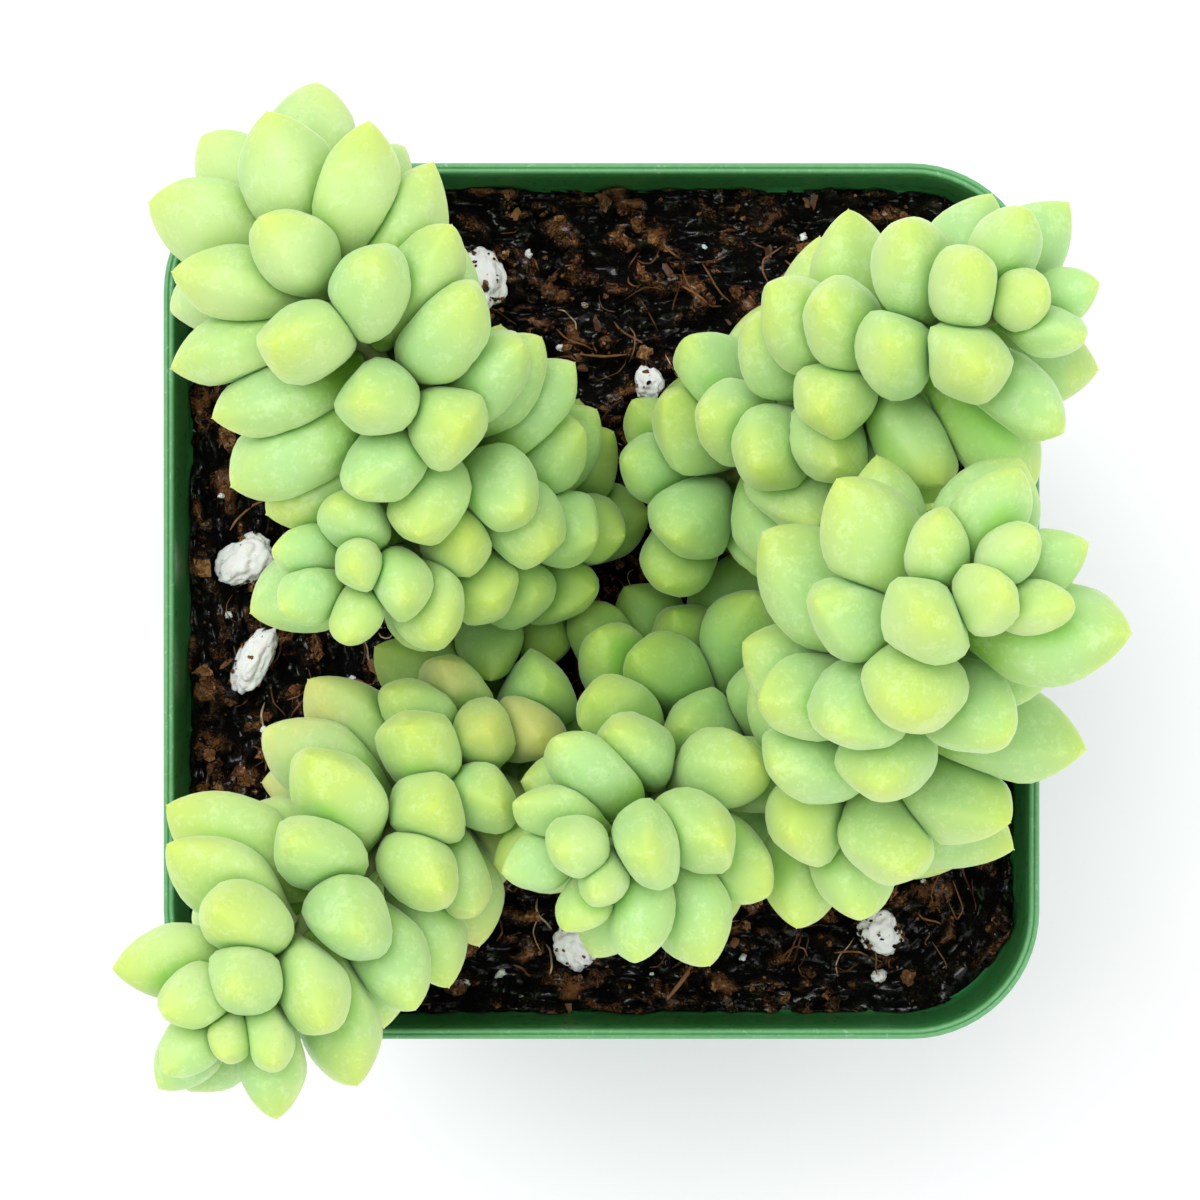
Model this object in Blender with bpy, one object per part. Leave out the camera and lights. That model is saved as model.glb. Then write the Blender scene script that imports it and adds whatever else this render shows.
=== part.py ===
"""Potted burro's tail: six plump-leaved trailing stems in a rounded-square nursery pot.

Lengths are in mm and are turned into metres where a mesh is made. The frame's origin is the middle
of the pot's underside, +Z is up. Leaves are grown round each stem, pressed apart, and flattened where
they touch. A run of neighbouring leaves is one node, joined by a thin sleeve of skin round its stem.
"""

import math

import bmesh
import bpy
import numpy as np
from mathutils import Vector, noise

MM = 0.001

# ---- pot ----
POT_HEIGHT = 70.0
RIM_HALF = 38.0
RIM_CORNER = 11.2
BODY_HALF = 36.9
BASE_HALF = 27.5
COLLAR_DROP = 10.9
WALL = 1.1
LEDGE = POT_HEIGHT - COLLAR_DROP + WALL
FLOOR = 1.8
DRAIN_HOLE = 4.6

# ---- filling ----
GAP = 0.3
SOIL_DROP = 9.2
SOIL_LUMP = 1.1
PERLITE = {
    "perlite_left_rear": (-31.6, 3.6, (2.8, 1.9, 1.6), 38),
    "perlite_left_front": (-30.8, -5.2, (1.5, 3.1, 1.4), -28),
    "perlite_rear": (-10.5, 28.6, (1.9, 2.6, 1.5), 15),
    "perlite_middle_rear": (4.2, 19.4, (1.3, 1.5, 1.2), 0),
    "perlite_front": (-2.4, -30.6, (1.7, 2.1, 1.4), 25),
    "perlite_front_right": (24.8, -29.4, (2.0, 1.8, 1.3), -20),
}

# ---- stems: name, route points (x, y, height above the rim), size of the leaves ----
STEM_RADIUS = 1.3
STEM_TIP_RADIUS = 0.75
BURIED = 7.0
CROWN = 2.6
ROUTES = {
    "rear_left": [
        (-5.5, 4.5, -11), (-8.6, 7.2, 2), (-13.4, 13.4, 15), (-18.8, 20.4, 22),
        (-23.3, 27.3, 22), (-26, 33.3, 15),
    ],
    "mid_left": [(-7.6, 0, -11), (-9.4, 1.6, -2), (-13.7, 4.3, 8), (-18, 3.6, 14), (-20.5, 2.4, 19)],
    "front_left": [
        (-5.5, -7.5, -11), (-8.8, -10.8, 0), (-14.6, -16.9, 7), (-21, -23.3, 13),
        (-27.3, -29.5, 18), (-30.9, -34.8, 21),
    ],
    "front": [(1.8, -8, -11), (4.2, -10.8, 0), (5.4, -15.2, 8), (3.2, -19, 14), (-1, -20.6, 19)],
    "right": [
        (7.5, -4.5, -11), (10.7, -10.4, -2), (16.5, -15.7, 5), (21.8, -14.6, 12),
        (23.6, -8.9, 19), (24.4, -4.3, 26), (26.6, -0.9, 32), (30.2, 0.9, 36),
    ],
    "rear_right": [
        (5, 4.5, -11), (9, 9.2, 0), (14.6, 13.6, 9), (21.1, 18.5, 20), (27.5, 21.3, 27),
        (32.8, 23.5, 32),
    ],
}
LEAF_SIZE = {
    "rear_left": 1.0, "mid_left": 0.95, "front_left": 1.0, "front": 1.0, "right": 1.1,
    "rear_right": 1.02,
}
RUNS = {"rear_left": 9, "mid_left": 5, "front_left": 9, "front": 5, "right": 9, "rear_right": 9}

# ---- leaves ----
LEAF_LENGTH = 12.2
LEAF_WIDTH = 7.1
LEAF_THICK = 5.9
EYE = 350.0
# Where chosen leaves' points lie, in mm on the rim's plane, as sighted from EYE above its middle.
POINTS = {
    "rear_left": [
        (-24.5, 44.5), (-28.5, 42), (-34.5, 40), (-33.5, 39), (-39, 34), (-29, 33), (-23, 41.5),
        (-19.5, 41), (-14.5, 37.5), (-19.5, 29.5), (-37, 27), (-37, 25), (-28, 22), (-13, 32),
        (-11.5, 27), (-12.5, 26), (-37, 20.5), (-20.5, 17), (-8.5, 23.5), (-7, 21.5), (-33, 15),
        (-11.5, 15), (-32, 10.5), (-28.5, 7.5), (-5, 22.5), (-2.5, 20.5), (-1.5, 14.5),
        (-0.5, 5.5),
    ],
    "mid_left": [
        (-21.5, 3), (-24, 1.5), (-28.5, 4.5), (-28, -0.5), (-22, -3.5), (-16.5, 0), (-14, -3),
        (-16, -4), (-19, 7), (-11.5, 5.5), (-9, -0.5), (-5, 0.5), (-1, 0.5), (-9.5, -7),
    ],
    "front_left": [
        (-25.5, -7.5), (-17, -7.5), (-13.5, -5), (-17.5, -4.5), (-28.5, -10.5), (-16, -10.5),
        (-9.5, -10.5), (-25, -13.5), (-29, -15), (-14, -18), (-9, -17), (-37, -17.5),
        (-37, -21.5), (-22.5, -19), (-13.5, -24.5), (-10.5, -26.5), (-10.5, -29.5), (-16, -35),
        (-13, -33), (-33.5, -26), (-21, -28.5), (-42, -31.5), (-32.5, -34), (-24, -36.5),
        (-37, -35.5), (-29.5, -40), (-28, -44.5), (-21, -41.5), (-18.5, -36.5), (-37.5, -40.5),
        (-35.5, -42), (-33.5, -37), (-32.5, -39), (-5, -10.5), (-5.5, -7.5),
    ],
    "front": [
        (0.5, -2.5), (-1, -8), (1, -11), (-7, -15.5), (-3.5, -22), (4.5, -22), (-8.5, -23.5),
        (-1, -25.5), (-2.5, -28.5), (-0.5, -30.5), (3, -31), (10, -31), (14, -25.5), (10.5, -21),
        (-3.5, -11.5), (-9, -22.5),
    ],
    "right": [
        (14, 5.5), (11, 4), (11.5, 1), (6.5, -10.5), (15, -14.5), (24, -16.5), (35, -12),
        (41.5, -13), (45.5, -3), (40.5, -3.5), (42, 5), (35, 1), (37.5, 1), (35, 6), (35.5, 11),
        (37, 6), (29.5, 7.5), (23.5, 12), (20, 10.5), (18.5, 0), (28, -1.5), (35, -19.5),
        (31, -22), (26.5, -23.5), (22, -27.5), (19, -25), (17, -28), (6, 0), (3, -3), (4, 1),
    ],
    "rear_right": [
        (6.5, 22), (5.5, 17.5), (9, 15.5), (2, 12), (2.5, 16.5), (13, 11), (5.5, 5.5), (18, 6.5),
        (17, 2.5), (5.5, 1.5), (15, 27), (13, 24), (16.5, 20), (24.5, 22), (32.5, 20.5),
        (21, 33.5), (26, 32.5), (36, 33.5), (33.5, 35), (32.5, 29), (38, 27), (37, 25),
        (43, 27.5), (41.5, 23), (42.5, 19.5), (39.5, 14), (37.5, 10.5), (29, 10), (20, 11.5),
        (18.5, 26),
    ],
}

# Places on that plane that no other leaf's point may cover, and how far they reach.
KEEP_CLEAR = (
    (-31, 4), (45, 21), (-41, -38.5), (-34, -44.5), (-23, -7.5), (-39.5, -27), (12, 28), (7, 24.5),
    (26, 36), (23.5, -29.5), (32.5, -25.5), (-7, -29), (44, 31), (45.5, 26), (-27.5, -6.5),
    (1, 20),
)
CLEAR_REACH = 4.0

# A leaf's cross-sections: share of the length, share of the half width.
LEAF_RINGS = ((0.0, 0.32), (0.22, 0.58), (0.56, 1.06), (0.87, 0.74))
LEAF_SIDES = 5
BUD_SIDES = 4
ROOT = 1.1
SLEEVE = 2.2
CONTACT = 0.24


def unit(v):
    return v / np.linalg.norm(v, axis=-1, keepdims=True)


class Stem:
    """A smooth curve through the route's points, with a frame that doesn't twist along it."""

    def __init__(self, route, scale):
        points = np.array(route, float) + (0, 0, POT_HEIGHT)
        points = np.vstack([2 * points[0] - points[1], points, 2 * points[-1] - points[-2]])
        path = [points[1]]
        for a, b, c, d in zip(points, points[1:], points[2:], points[3:]):
            for t in np.linspace(0, 1, 21)[1:]:
                path.append(
                    0.5 * (2 * b + (c - a) * t + (2 * a - 5 * b + 4 * c - d) * t * t
                           + (3 * b - a - 3 * c + d) * t ** 3)
                )
        path = np.array(path)
        along = np.concatenate([[0], np.cumsum(np.linalg.norm(np.diff(path, axis=0), axis=1))])
        self.length = along[-1]
        self.scale = scale
        self.s = np.linspace(0, self.length, int(self.length * 2) + 1)
        self.p = np.stack([np.interp(self.s, along, path[:, k]) for k in range(3)], 1)
        self.t = unit(np.gradient(self.p, axis=0))
        self.n = np.zeros_like(self.t)
        side = np.array([1.0, 0, 0])
        for i, t in enumerate(self.t):
            side = unit(side - t * (side @ t))
            self.n[i] = side
        self.b = np.cross(self.t, self.n)
        self.foot = self.s[np.argmax(self.p[:, 2] > POT_HEIGHT - SOIL_DROP + SOIL_LUMP + 2)]

    def at(self, s):
        """Point, direction and two side directions at stations s."""
        return [
            np.stack([np.interp(s, self.s, table[:, k]) for k in range(3)], -1)
            for table in (self.p, self.t, self.n, self.b)
        ]


def leaf_scale(from_tip):
    x = np.clip(from_tip / 7.0, 0, 1)
    return 0.6 + 0.4 * (x * x * (3 - 2 * x)) ** 0.8


def leaf_splay(from_tip):
    return np.radians(np.interp(from_tip, [0, 2, 5, 9, 14, 30], [10, 30, 46, 57, 64, 70]))


def choices(stem, step, turn, leans, reaches):
    """Every place and direction that a leaf could take on this stem."""
    s = np.arange(stem.foot + 1.3, stem.length + 0.01, step)
    s, turns, lean, reach = [
        grid.ravel()
        for grid in np.meshgrid(
            s, np.radians(np.arange(0, 360, turn)), np.radians(leans), reaches, indexing="ij"
        )
    ]
    point, along, side, other = stem.at(s)
    out = np.cos(turns)[:, None] * side + np.sin(turns)[:, None] * other
    from_tip = stem.length - s
    splay = leaf_splay(from_tip) + lean
    size = leaf_scale(from_tip) * stem.scale * reach
    return {
        "s": s, "lean": lean, "reach": reach, "size": size,
        "base": point + ROOT * out,
        "d": np.cos(splay)[:, None] * along + np.sin(splay)[:, None] * out,
    }


def spread(one, others, share):
    """How much the plump part of a leaf presses into others, each as a share of the room it needs."""
    t = np.array([0.35, 0.6, 0.85]) * LEAF_LENGTH
    mine = one["base"] + np.outer(t, one["d"] * one["size"])
    theirs = (others["base"][:, None] + others["d"][:, None] * others["size"][:, None, None]
              * t[None, :, None])
    gap = np.linalg.norm(theirs[:, None] - mine[None, :, None], axis=-1).min(axis=(1, 2))
    need = share * LEAF_THICK * (others["size"] + one["size"]) / 2
    return np.clip(1 - gap / need, 0, 1)


def take(table, rows):
    return {key: values[rows] for key, values in table.items()}


def room_above_soil(base, d, size):
    """How far a leaf keeps above the soil and clear of the pot's rim, negative where it can't."""
    end = base + d * (size * LEAF_LENGTH)[:, None]
    over = np.abs(end[:, :2]).max(axis=1)
    floor = np.where(over > BODY_HALF - 4, POT_HEIGHT + 3.0, POT_HEIGHT - SOIL_DROP + 3.2)
    return end[:, 2] - floor


def sighted(table):
    """Where leaves' points are seen, on the rim's plane."""
    ends = table["base"] + table["d"] * (table["size"] * LEAF_LENGTH * 0.97)[:, None]
    return ends[:, :2] * (EYE / (EYE + POT_HEIGHT - ends[:, 2]))[:, None]


def aimed_leaves(name, stem, grown):
    """Leaves whose points sit on the chosen sight lines."""
    table = choices(stem, 0.8, 10, (-22, -11, 0, 11, 22), (0.92, 1.0, 1.08))
    table = take(table, room_above_soil(table["base"], table["d"], table["size"]) > -1)
    ends = table["base"] + table["d"] * (table["size"] * LEAF_LENGTH * 0.97)[:, None]
    height = ends[:, 2] - POT_HEIGHT
    seen = sighted(table)
    for point in POINTS[name]:
        miss = np.linalg.norm(seen - point, axis=1)
        cost = miss ** 2 + 8 * table["lean"] ** 2 - 0.6 * table["d"][:, 2]
        cost = cost + 30 * (table["reach"] - 1) ** 2
        best = np.argsort(cost, kind="stable")[:220]
        short = take(table, best)
        crowd = np.zeros(len(best))
        for leaf in grown:
            if np.linalg.norm(leaf["base"] - short["base"][0]) < 26:
                crowd += 8 * spread(leaf, short, 0.74) ** 2
        pick = best[np.argmin(cost[best] + crowd)]
        leaf = take(table, pick)
        target = np.array([*(np.array(point) * (EYE - height[pick]) / EYE), ends[pick, 2]])
        toward = target - leaf["base"]
        reach = np.linalg.norm(toward) / (0.97 * LEAF_LENGTH)
        leaf["d"] = toward / np.linalg.norm(toward)
        leaf["size"] = float(np.clip(reach, 0.9 * leaf["size"], 1.12 * leaf["size"]))
        leaf["stem"] = name
        leaf["weight"] = 0.2
        grown.append(leaf)


def fill_leaves(name, stem, grown):
    """Leaves wherever the stem still has room for one, from its foot to its tip."""
    table = choices(stem, 0.7, 15, (0,), (1.0,))
    table = take(table, room_above_soil(table["base"], table["d"], table["size"]) > 0)
    off = np.linalg.norm(sighted(table)[:, None] - np.array(KEEP_CLEAR), axis=2).min(axis=1)
    table = take(table, off > CLEAR_REACH)
    free = np.ones(len(table["s"]), bool)

    def occupy(leaf):
        near = np.flatnonzero(free & (np.linalg.norm(table["base"] - leaf["base"], axis=1) < 26))
        tight = np.where(table["d"][near, 2] > 0.2, 0.72, 0.76)
        pressed = spread(leaf, take(table, near), tight) > 0
        free[near[pressed]] = False

    for leaf in grown:
        occupy(leaf)
    while free.any():
        pick = int(np.flatnonzero(free)[0])
        leaf = take(table, pick)
        leaf["stem"] = name
        leaf["weight"] = 1.0
        free[pick] = False
        grown.append(leaf)
        occupy(leaf)


def closest(base, reach, first, second, low, high):
    """Closest points of leaf pairs' axes, between two shares of the length, and those points' shares."""
    p, q = base[first] + low * reach[first], base[second] + low * reach[second]
    u, v = (high - low) * reach[first], (high - low) * reach[second]
    gap = p - q
    uu, vv, uv = (u * u).sum(1), (v * v).sum(1), (u * v).sum(1)
    ug, vg = (u * gap).sum(1), (v * gap).sum(1)
    i = np.clip((uv * vg - ug * vv) / np.maximum(uu * vv - uv * uv, 1e-6), 0, 1)
    j = np.clip((uv * i + vg) / vv, 0, 1)
    i = np.clip((uv * j - ug) / uu, 0, 1)
    a, b = p + u * i[:, None], q + v * j[:, None]
    return a, b, low + (high - low) * i, low + (high - low) * j, np.linalg.norm(b - a, axis=1)


def press_apart(leaves, stems, rounds=30):
    """Turns leaves about their bases until none is squeezed much."""
    base, d, size = leaves["base"], leaves["d"], leaves["size"]
    grown = d.copy()
    hold = np.where(leaves["weight"] < 0.5, 0.35, 0.08)[:, None] * (size * LEAF_LENGTH)[:, None]
    middle = base + d * (size * LEAF_LENGTH * 0.6)[:, None]
    far = np.linalg.norm(middle[:, None] - middle[None], axis=-1)
    first, second = np.nonzero(np.triu(far < 15, 1))
    paths = np.vstack([stem.p for stem in stems.values()])
    paths_name = np.concatenate([[name] * len(stem.p) for name, stem in stems.items()])
    foreign = leaves["stem"][:, None] != paths_name[None]
    room = 0.78 * LEAF_THICK * (size[first] + size[second]) / 2
    for _ in range(rounds):
        reach = d * (size * LEAF_LENGTH)[:, None]
        a, b, ta, tb, gap = closest(base, reach, first, second, 0.35, 0.95)
        push = (np.clip(room - gap, 0, 3) / np.maximum(gap, 0.3))[:, None] * (b - a) * 0.5
        turn = np.zeros_like(d)
        share_a = leaves["weight"][first] / (leaves["weight"][first] + leaves["weight"][second])
        np.add.at(turn, first, -push * (share_a / np.maximum(ta, 0.4))[:, None])
        np.add.at(turn, second, push * ((1 - share_a) / np.maximum(tb, 0.4))[:, None])
        for t in (0.5, 0.85):
            spot = base + reach * t
            away = spot[:, None] - paths[None]
            gap = np.linalg.norm(away, axis=-1) + 99 * ~foreign
            low = gap.argmin(axis=1)
            rows = np.arange(len(spot))
            lack = np.clip(STEM_RADIUS + LEAF_THICK * size / 2 - gap[rows, low], 0, 3)
            turn += unit(away[rows, low]) * lack[:, None]
        turn[:, 2] += np.clip(-room_above_soil(base, d, size), 0, 3) * 0.5
        turn = 0.6 * turn + hold * (grown - d)
        d = unit(d + turn / (size * LEAF_LENGTH)[:, None])
    leaves["d"] = d
    return leaves


def grow():
    stems = {name: Stem(route, LEAF_SIZE[name]) for name, route in ROUTES.items()}
    grown = []
    for name, stem in stems.items():
        aimed_leaves(name, stem, grown)
    for name, stem in stems.items():
        fill_leaves(name, stem, grown)
    leaves = {key: np.array([leaf[key] for leaf in grown]) for key in grown[0]}
    leaves = press_apart(leaves, stems)
    blocked = {i for i, _, _, far in stem_planes(leaves, stems) if far < SLEEVE + 0.8}
    kept = [i for i in range(len(leaves["s"])) if i not in blocked]
    leaves = take(leaves, kept)
    path, along, side, other = (np.zeros_like(leaves["d"]) for _ in range(4))
    for name, stem in stems.items():
        mine = leaves["stem"] == name
        path[mine], along[mine], side[mine], other[mine] = stem.at(leaves["s"][mine])
    d = leaves["d"]
    leaves["u"] = unit(along - d * (along * d).sum(axis=1, keepdims=True))
    leaves["v"] = np.cross(d, leaves["u"])
    leaves["path"], leaves["along"] = path, along
    rise = (d * along).sum(axis=1)
    slope = rise / np.sqrt(np.maximum(1 - rise ** 2, 0.04))
    leaves["scar"] = leaves["s"] + (0.5 * (SLEEVE + STEM_RADIUS + GAP) - ROOT) * slope
    return stems, leaves


def runs_of(name, stem, leaves):
    """Runs of leaves that meet the stem's skin one after another, and the stations they lie between."""
    scar = leaves["scar"]
    mine = np.flatnonzero(leaves["stem"] == name)
    mine = mine[np.argsort(scar[mine], kind="stable")]
    top = stem.length - CROWN
    groups = np.array_split(mine[scar[mine] < top], RUNS[name] - 1)
    ends = [(scar[a[-1]] + scar[b[0]]) / 2 for a, b in zip(groups, groups[1:])]
    groups.append(mine[scar[mine] >= top])
    starts = [scar[mine[0]] - 1.2, *ends, top]
    return [
        (group, start + GAP / 2, end - GAP / 2)
        for group, start, end in zip(groups, starts, [*ends, top, stem.length + GAP / 2])
    ]


def blank_leaf(leaves, i, rings, sides):
    """A leaf's cross-sections before its neighbours press on it: (rings, sides, 3) and their centres."""
    share = np.array([ring[0] for ring in rings])
    wide = np.array([ring[1] for ring in rings])
    size = leaves["size"][i]
    turns = np.arange(sides) * 2 * math.pi / sides
    across = np.cos(turns)[:, None] * leaves["v"][i] * LEAF_WIDTH / 2
    through = np.sin(turns)[:, None] * leaves["u"][i] * LEAF_THICK / 2
    centres = leaves["base"][i] + np.outer(share * size * LEAF_LENGTH, leaves["d"][i])
    return centres[:, None] + wide[:, None, None] * size * (across + through)[None], centres


def clip(points, centres, normal, limit):
    """Draws points in towards their section's centre until they are on the inner side of a plane."""
    inside = centres @ normal < limit - 0.15
    over = points @ normal - limit
    room = (limit - centres @ normal)[:, None]
    share = np.clip(room / np.maximum(over + room, 1e-6), 0, 1)
    drawn = centres[:, None] + (points - centres[:, None]) * share[..., None]
    flat = points - over[..., None] * normal
    moved = np.where(inside[:, None, None], drawn, flat)
    return np.where((over > 0)[..., None], moved, points)


def contact_planes(leaves):
    """Planes between leaves that touch: leaf, the plane's normal and its distance, for each side."""
    base, size = leaves["base"], leaves["size"]
    reach = leaves["d"] * (size * LEAF_LENGTH)[:, None]
    middle = base + reach * 0.6
    far = np.linalg.norm(middle[:, None] - middle[None], axis=-1)
    first, second = np.nonzero(np.triu(far < 16, 1))
    table = np.array(LEAF_RINGS)
    plump = np.zeros(len(first), bool)
    for low, high in ((0.22, 1.0), (0.42, 0.92)):
        a, b, ta, tb, gap = closest(base, reach, first, second, low, high)
        fat_a = size[first] * np.interp(ta, table[:, 0], table[:, 1])
        fat_b = size[second] * np.interp(tb, table[:, 0], table[:, 1])
        across = (b - a) / np.maximum(gap, 1e-6)[:, None]
        cut = a + (b - a) * (fat_a / (fat_a + fat_b))[:, None]
        at = (cut * across).sum(axis=1)
        if low < 0.3:
            normal, level, near = across, at, gap - LEAF_WIDTH * (fat_a + fat_b) / 2
            continue
        # The plane between the plump parts serves where it keeps both leaves' ends apart too.
        plump = np.ones(len(first), bool)
        for share in (0.22, 1.0):
            plump &= ((base[first] + share * reach[first]) * across).sum(1) < at - 0.3
            plump &= ((base[second] + share * reach[second]) * across).sum(1) > at + 0.3
        normal[plump], level[plump] = across[plump], at[plump]
        near = np.minimum(near, gap - LEAF_WIDTH * (fat_a + fat_b) / 2)
    touch = near < 1
    return first[touch], second[touch], normal[touch], level[touch]


def stem_planes(leaves, stems):
    """For each leaf, the nearest point of another leaf's stem: the way to it and how far it is."""
    found = []
    for name, stem in stems.items():
        mine = np.flatnonzero(leaves["stem"] != name)
        reach = leaves["d"][mine] * (leaves["size"][mine] * LEAF_LENGTH)[:, None]
        t = np.linspace(0.25, 1.0, 7)
        spots = leaves["base"][mine][:, None] + reach[:, None] * t[:, None]
        far = np.linalg.norm(spots[:, :, None] - stem.p, axis=-1).reshape(len(mine), -1)
        low = far.argmin(axis=1)
        for i, row, k in zip(mine, range(len(mine)), low):
            spot = spots[row, k // len(stem.p)]
            toward = stem.p[k % len(stem.p)] - spot
            found.append((i, unit(toward), spot, far[row, k]))
    return [entry for entry in found if entry[3] < LEAF_WIDTH]


def pressed_leaves(leaves, stems, gap):
    """Every leaf's points, flattened against its neighbours, its stem, the soil and the rim."""
    cut = {}
    for i in range(len(leaves["s"])):
        sides = LEAF_SIDES if leaves["size"][i] > 0.7 else BUD_SIDES
        points, centres = blank_leaf(leaves, i, LEAF_RINGS, sides)
        apex = leaves["base"][i] + leaves["d"][i] * leaves["size"][i] * LEAF_LENGTH
        cut[i] = [
            np.concatenate([points[1:], np.repeat(apex[None, None], sides, axis=1)]),
            np.vstack([centres[1:], apex - leaves["d"][i] * leaves["size"][i]]),
            points[:1],
        ]
    path = np.vstack([stem.p[stem.s < stem.length - CROWN] for stem in stems.values()])
    for shape in cut.values():
        away = shape[0][:, :, None] - path
        near = np.linalg.norm(away, axis=-1)
        low = near.argmin(axis=-1)[..., None]
        out = np.take_along_axis(away, low[..., None], axis=2)[:, :, 0]
        near = np.take_along_axis(near, low, axis=-1)
        lack = np.clip(SLEEVE + 0.3 - near, 0, 2)
        shape[0] = shape[0] + out / np.maximum(near, 0.2) * lack
    first, second, normal, level = contact_planes(leaves)
    for _ in range(2):
        for i, j, across, at in zip(first, second, normal, level):
            cut[i][0] = clip(cut[i][0], cut[i][1], across, at - gap)
            cut[j][0] = clip(cut[j][0], cut[j][1], -across, -at - gap)
    for i, across, spot, far in stem_planes(leaves, stems):
        cut[i][0] = clip(cut[i][0], cut[i][1], across, across @ spot + far - SLEEVE - gap)
    down = np.array([0, 0, -1.0])
    soil = -(POT_HEIGHT - SOIL_DROP + SOIL_LUMP + GAP)
    for shape in cut.values():
        shape[0] = clip(shape[0], shape[1], down, soil)
        for side in ((1, 0), (-1, 0), (0, 1), (0, -1)):
            if (shape[0][..., :2] @ side).max() > BODY_HALF - 2.6:
                lean = np.array([2.5 * side[0], 2.5 * side[1], -1.0])
                level = 2.5 * (BODY_HALF - 2.3) - (POT_HEIGHT + GAP)
                scale = np.linalg.norm(lean)
                shape[0] = clip(shape[0], shape[1], lean / scale, level / scale)
    return cut


# ---- meshes ----
def mesh_object(name, points, faces):
    mesh = bpy.data.meshes.new(name)
    mesh.from_pydata([tuple(p) for p in np.asarray(points, float) * MM], [], faces)
    mesh.validate()
    shape = bmesh.new()
    shape.from_mesh(mesh)
    bmesh.ops.recalc_face_normals(shape, faces=shape.faces)
    shape.to_mesh(mesh)
    shape.free()
    made = bpy.data.objects.new(name, mesh)
    bpy.context.scene.collection.objects.link(made)
    return made


def hide(helper):
    helper.hide_render = True
    helper.display_type = "WIRE"
    return helper


def boolean(body, helper, operation, solver="EXACT"):
    modifier = body.modifiers.new(helper.name, "BOOLEAN")
    modifier.operation = operation
    modifier.solver = solver
    modifier.object = hide(helper)


def shells(parts):
    """Several (points, faces) in one."""
    points, faces, start = [], [], 0
    for more, sides in parts:
        points.extend(more)
        faces.extend([tuple(start + v for v in side) for side in sides])
        start += len(more)
    return points, faces


def tube(rings):
    """A closed skin through rings of as many points, with a flat cap at both ends."""
    count = len(rings[0])
    faces = [tuple(range(count)), tuple(range((len(rings) - 1) * count, len(rings) * count))]
    for k in range(len(rings) - 1):
        for i in range(count):
            j = (i + 1) % count
            faces.append((k * count + i, k * count + j, (k + 1) * count + j, (k + 1) * count + i))
    return [p for ring in rings for p in ring], faces


def stem_tube(stem, start, end, wider, step=2.4):
    """The stem between two stations, WIDER mm fatter than it is."""
    s = np.linspace(start, end, max(2, int(math.ceil((end - start) / step)) + 1))
    point, _, side, other = stem.at(s)
    radius = wider + np.interp(s, [0, stem.length], [STEM_RADIUS, STEM_TIP_RADIUS])
    turns = np.arange(6) * math.pi / 3
    spokes = np.cos(turns)[None, :, None] * side[:, None] + np.sin(turns)[None, :, None] * other[:, None]
    return point[:, None] + radius[:, None, None] * spokes


def rounded_square(half, corner, z, steps=5):
    """Points round a square with rounded corners."""
    points = []
    for k in range(4):
        for i in range(steps + 1):
            angle = (k + i / steps) * math.pi / 2
            x = (half - corner) * (1 if k in (0, 3) else -1) + corner * math.cos(angle)
            y = (half - corner) * (1 if k in (0, 1) else -1) + corner * math.sin(angle)
            points.append((x, y, z))
    return points


def body_half(z):
    """Half the width over the pot's wall at a height, below the collar."""
    return BASE_HALF + (BODY_HALF - BASE_HALF) * z / POT_HEIGHT


def body_corner(z):
    return 8.2 + 1.8 * z / POT_HEIGHT


def inner_half(z):
    """Half the width of the pot's inside at a height: the collar's inside is wider than the body's."""
    if z > LEDGE:
        return RIM_HALF - WALL - 0.03 * (POT_HEIGHT - z)
    return body_half(z) - WALL


def inner_corner(z):
    return (RIM_CORNER if z > LEDGE else body_corner(z)) - WALL


def inner_square(z, offset=0.0):
    return rounded_square(inner_half(z) - offset, inner_corner(z) - offset, z)


def build_pot():
    top, step = POT_HEIGHT, POT_HEIGHT - COLLAR_DROP
    rings = [
        rounded_square(BASE_HALF - 1.2, body_corner(0) - 1, 0),
        rounded_square(BASE_HALF, body_corner(0), 1.2),
        rounded_square(body_half(step - 0.8), body_corner(step), step - 0.8),
        rounded_square(RIM_HALF - 0.5, RIM_CORNER - 0.4, step),
        rounded_square(RIM_HALF - 0.25, RIM_CORNER - 0.1, top - 1.3),
        rounded_square(RIM_HALF, RIM_CORNER, top - 1.0),
        rounded_square(RIM_HALF, RIM_CORNER, top - 0.3),
        rounded_square(RIM_HALF - 0.3, RIM_CORNER - 0.3, top),
        rounded_square(RIM_HALF - 1.0, RIM_CORNER - 1.0, top),
        rounded_square(RIM_HALF - 1.25, RIM_CORNER - 1.2, top - 0.6),
        inner_square(top - 1.8),
        inner_square(LEDGE + 0.1),
        inner_square(LEDGE),
        inner_square(FLOOR + 1.0),
        rounded_square(body_half(FLOOR) - WALL - 0.8, body_corner(FLOOR) - WALL - 0.8, FLOOR),
    ]
    pot = mesh_object("pot", *tube(rings))
    reach = BASE_HALF - 2.6
    cutters = []
    for x, y in ((1, 1), (-1, 1), (-1, -1), (1, -1)):
        middle = np.array([x * reach, y * reach, 0.6])
        out = unit(np.array([x, y, -0.9]))
        side = unit(np.array([-y, x, 0.0]))
        up = np.cross(out, side)
        turns = np.arange(10) * math.pi / 5
        ring = DRAIN_HOLE / 2 * (np.outer(np.cos(turns), side) + np.outer(np.sin(turns), up))
        cutters.append(tube([middle - 4.2 * out + ring, middle + 8 * out + ring]))
    boolean(pot, mesh_object("cut_drain_holes", *shells(cutters)), "DIFFERENCE")
    return pot


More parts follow.
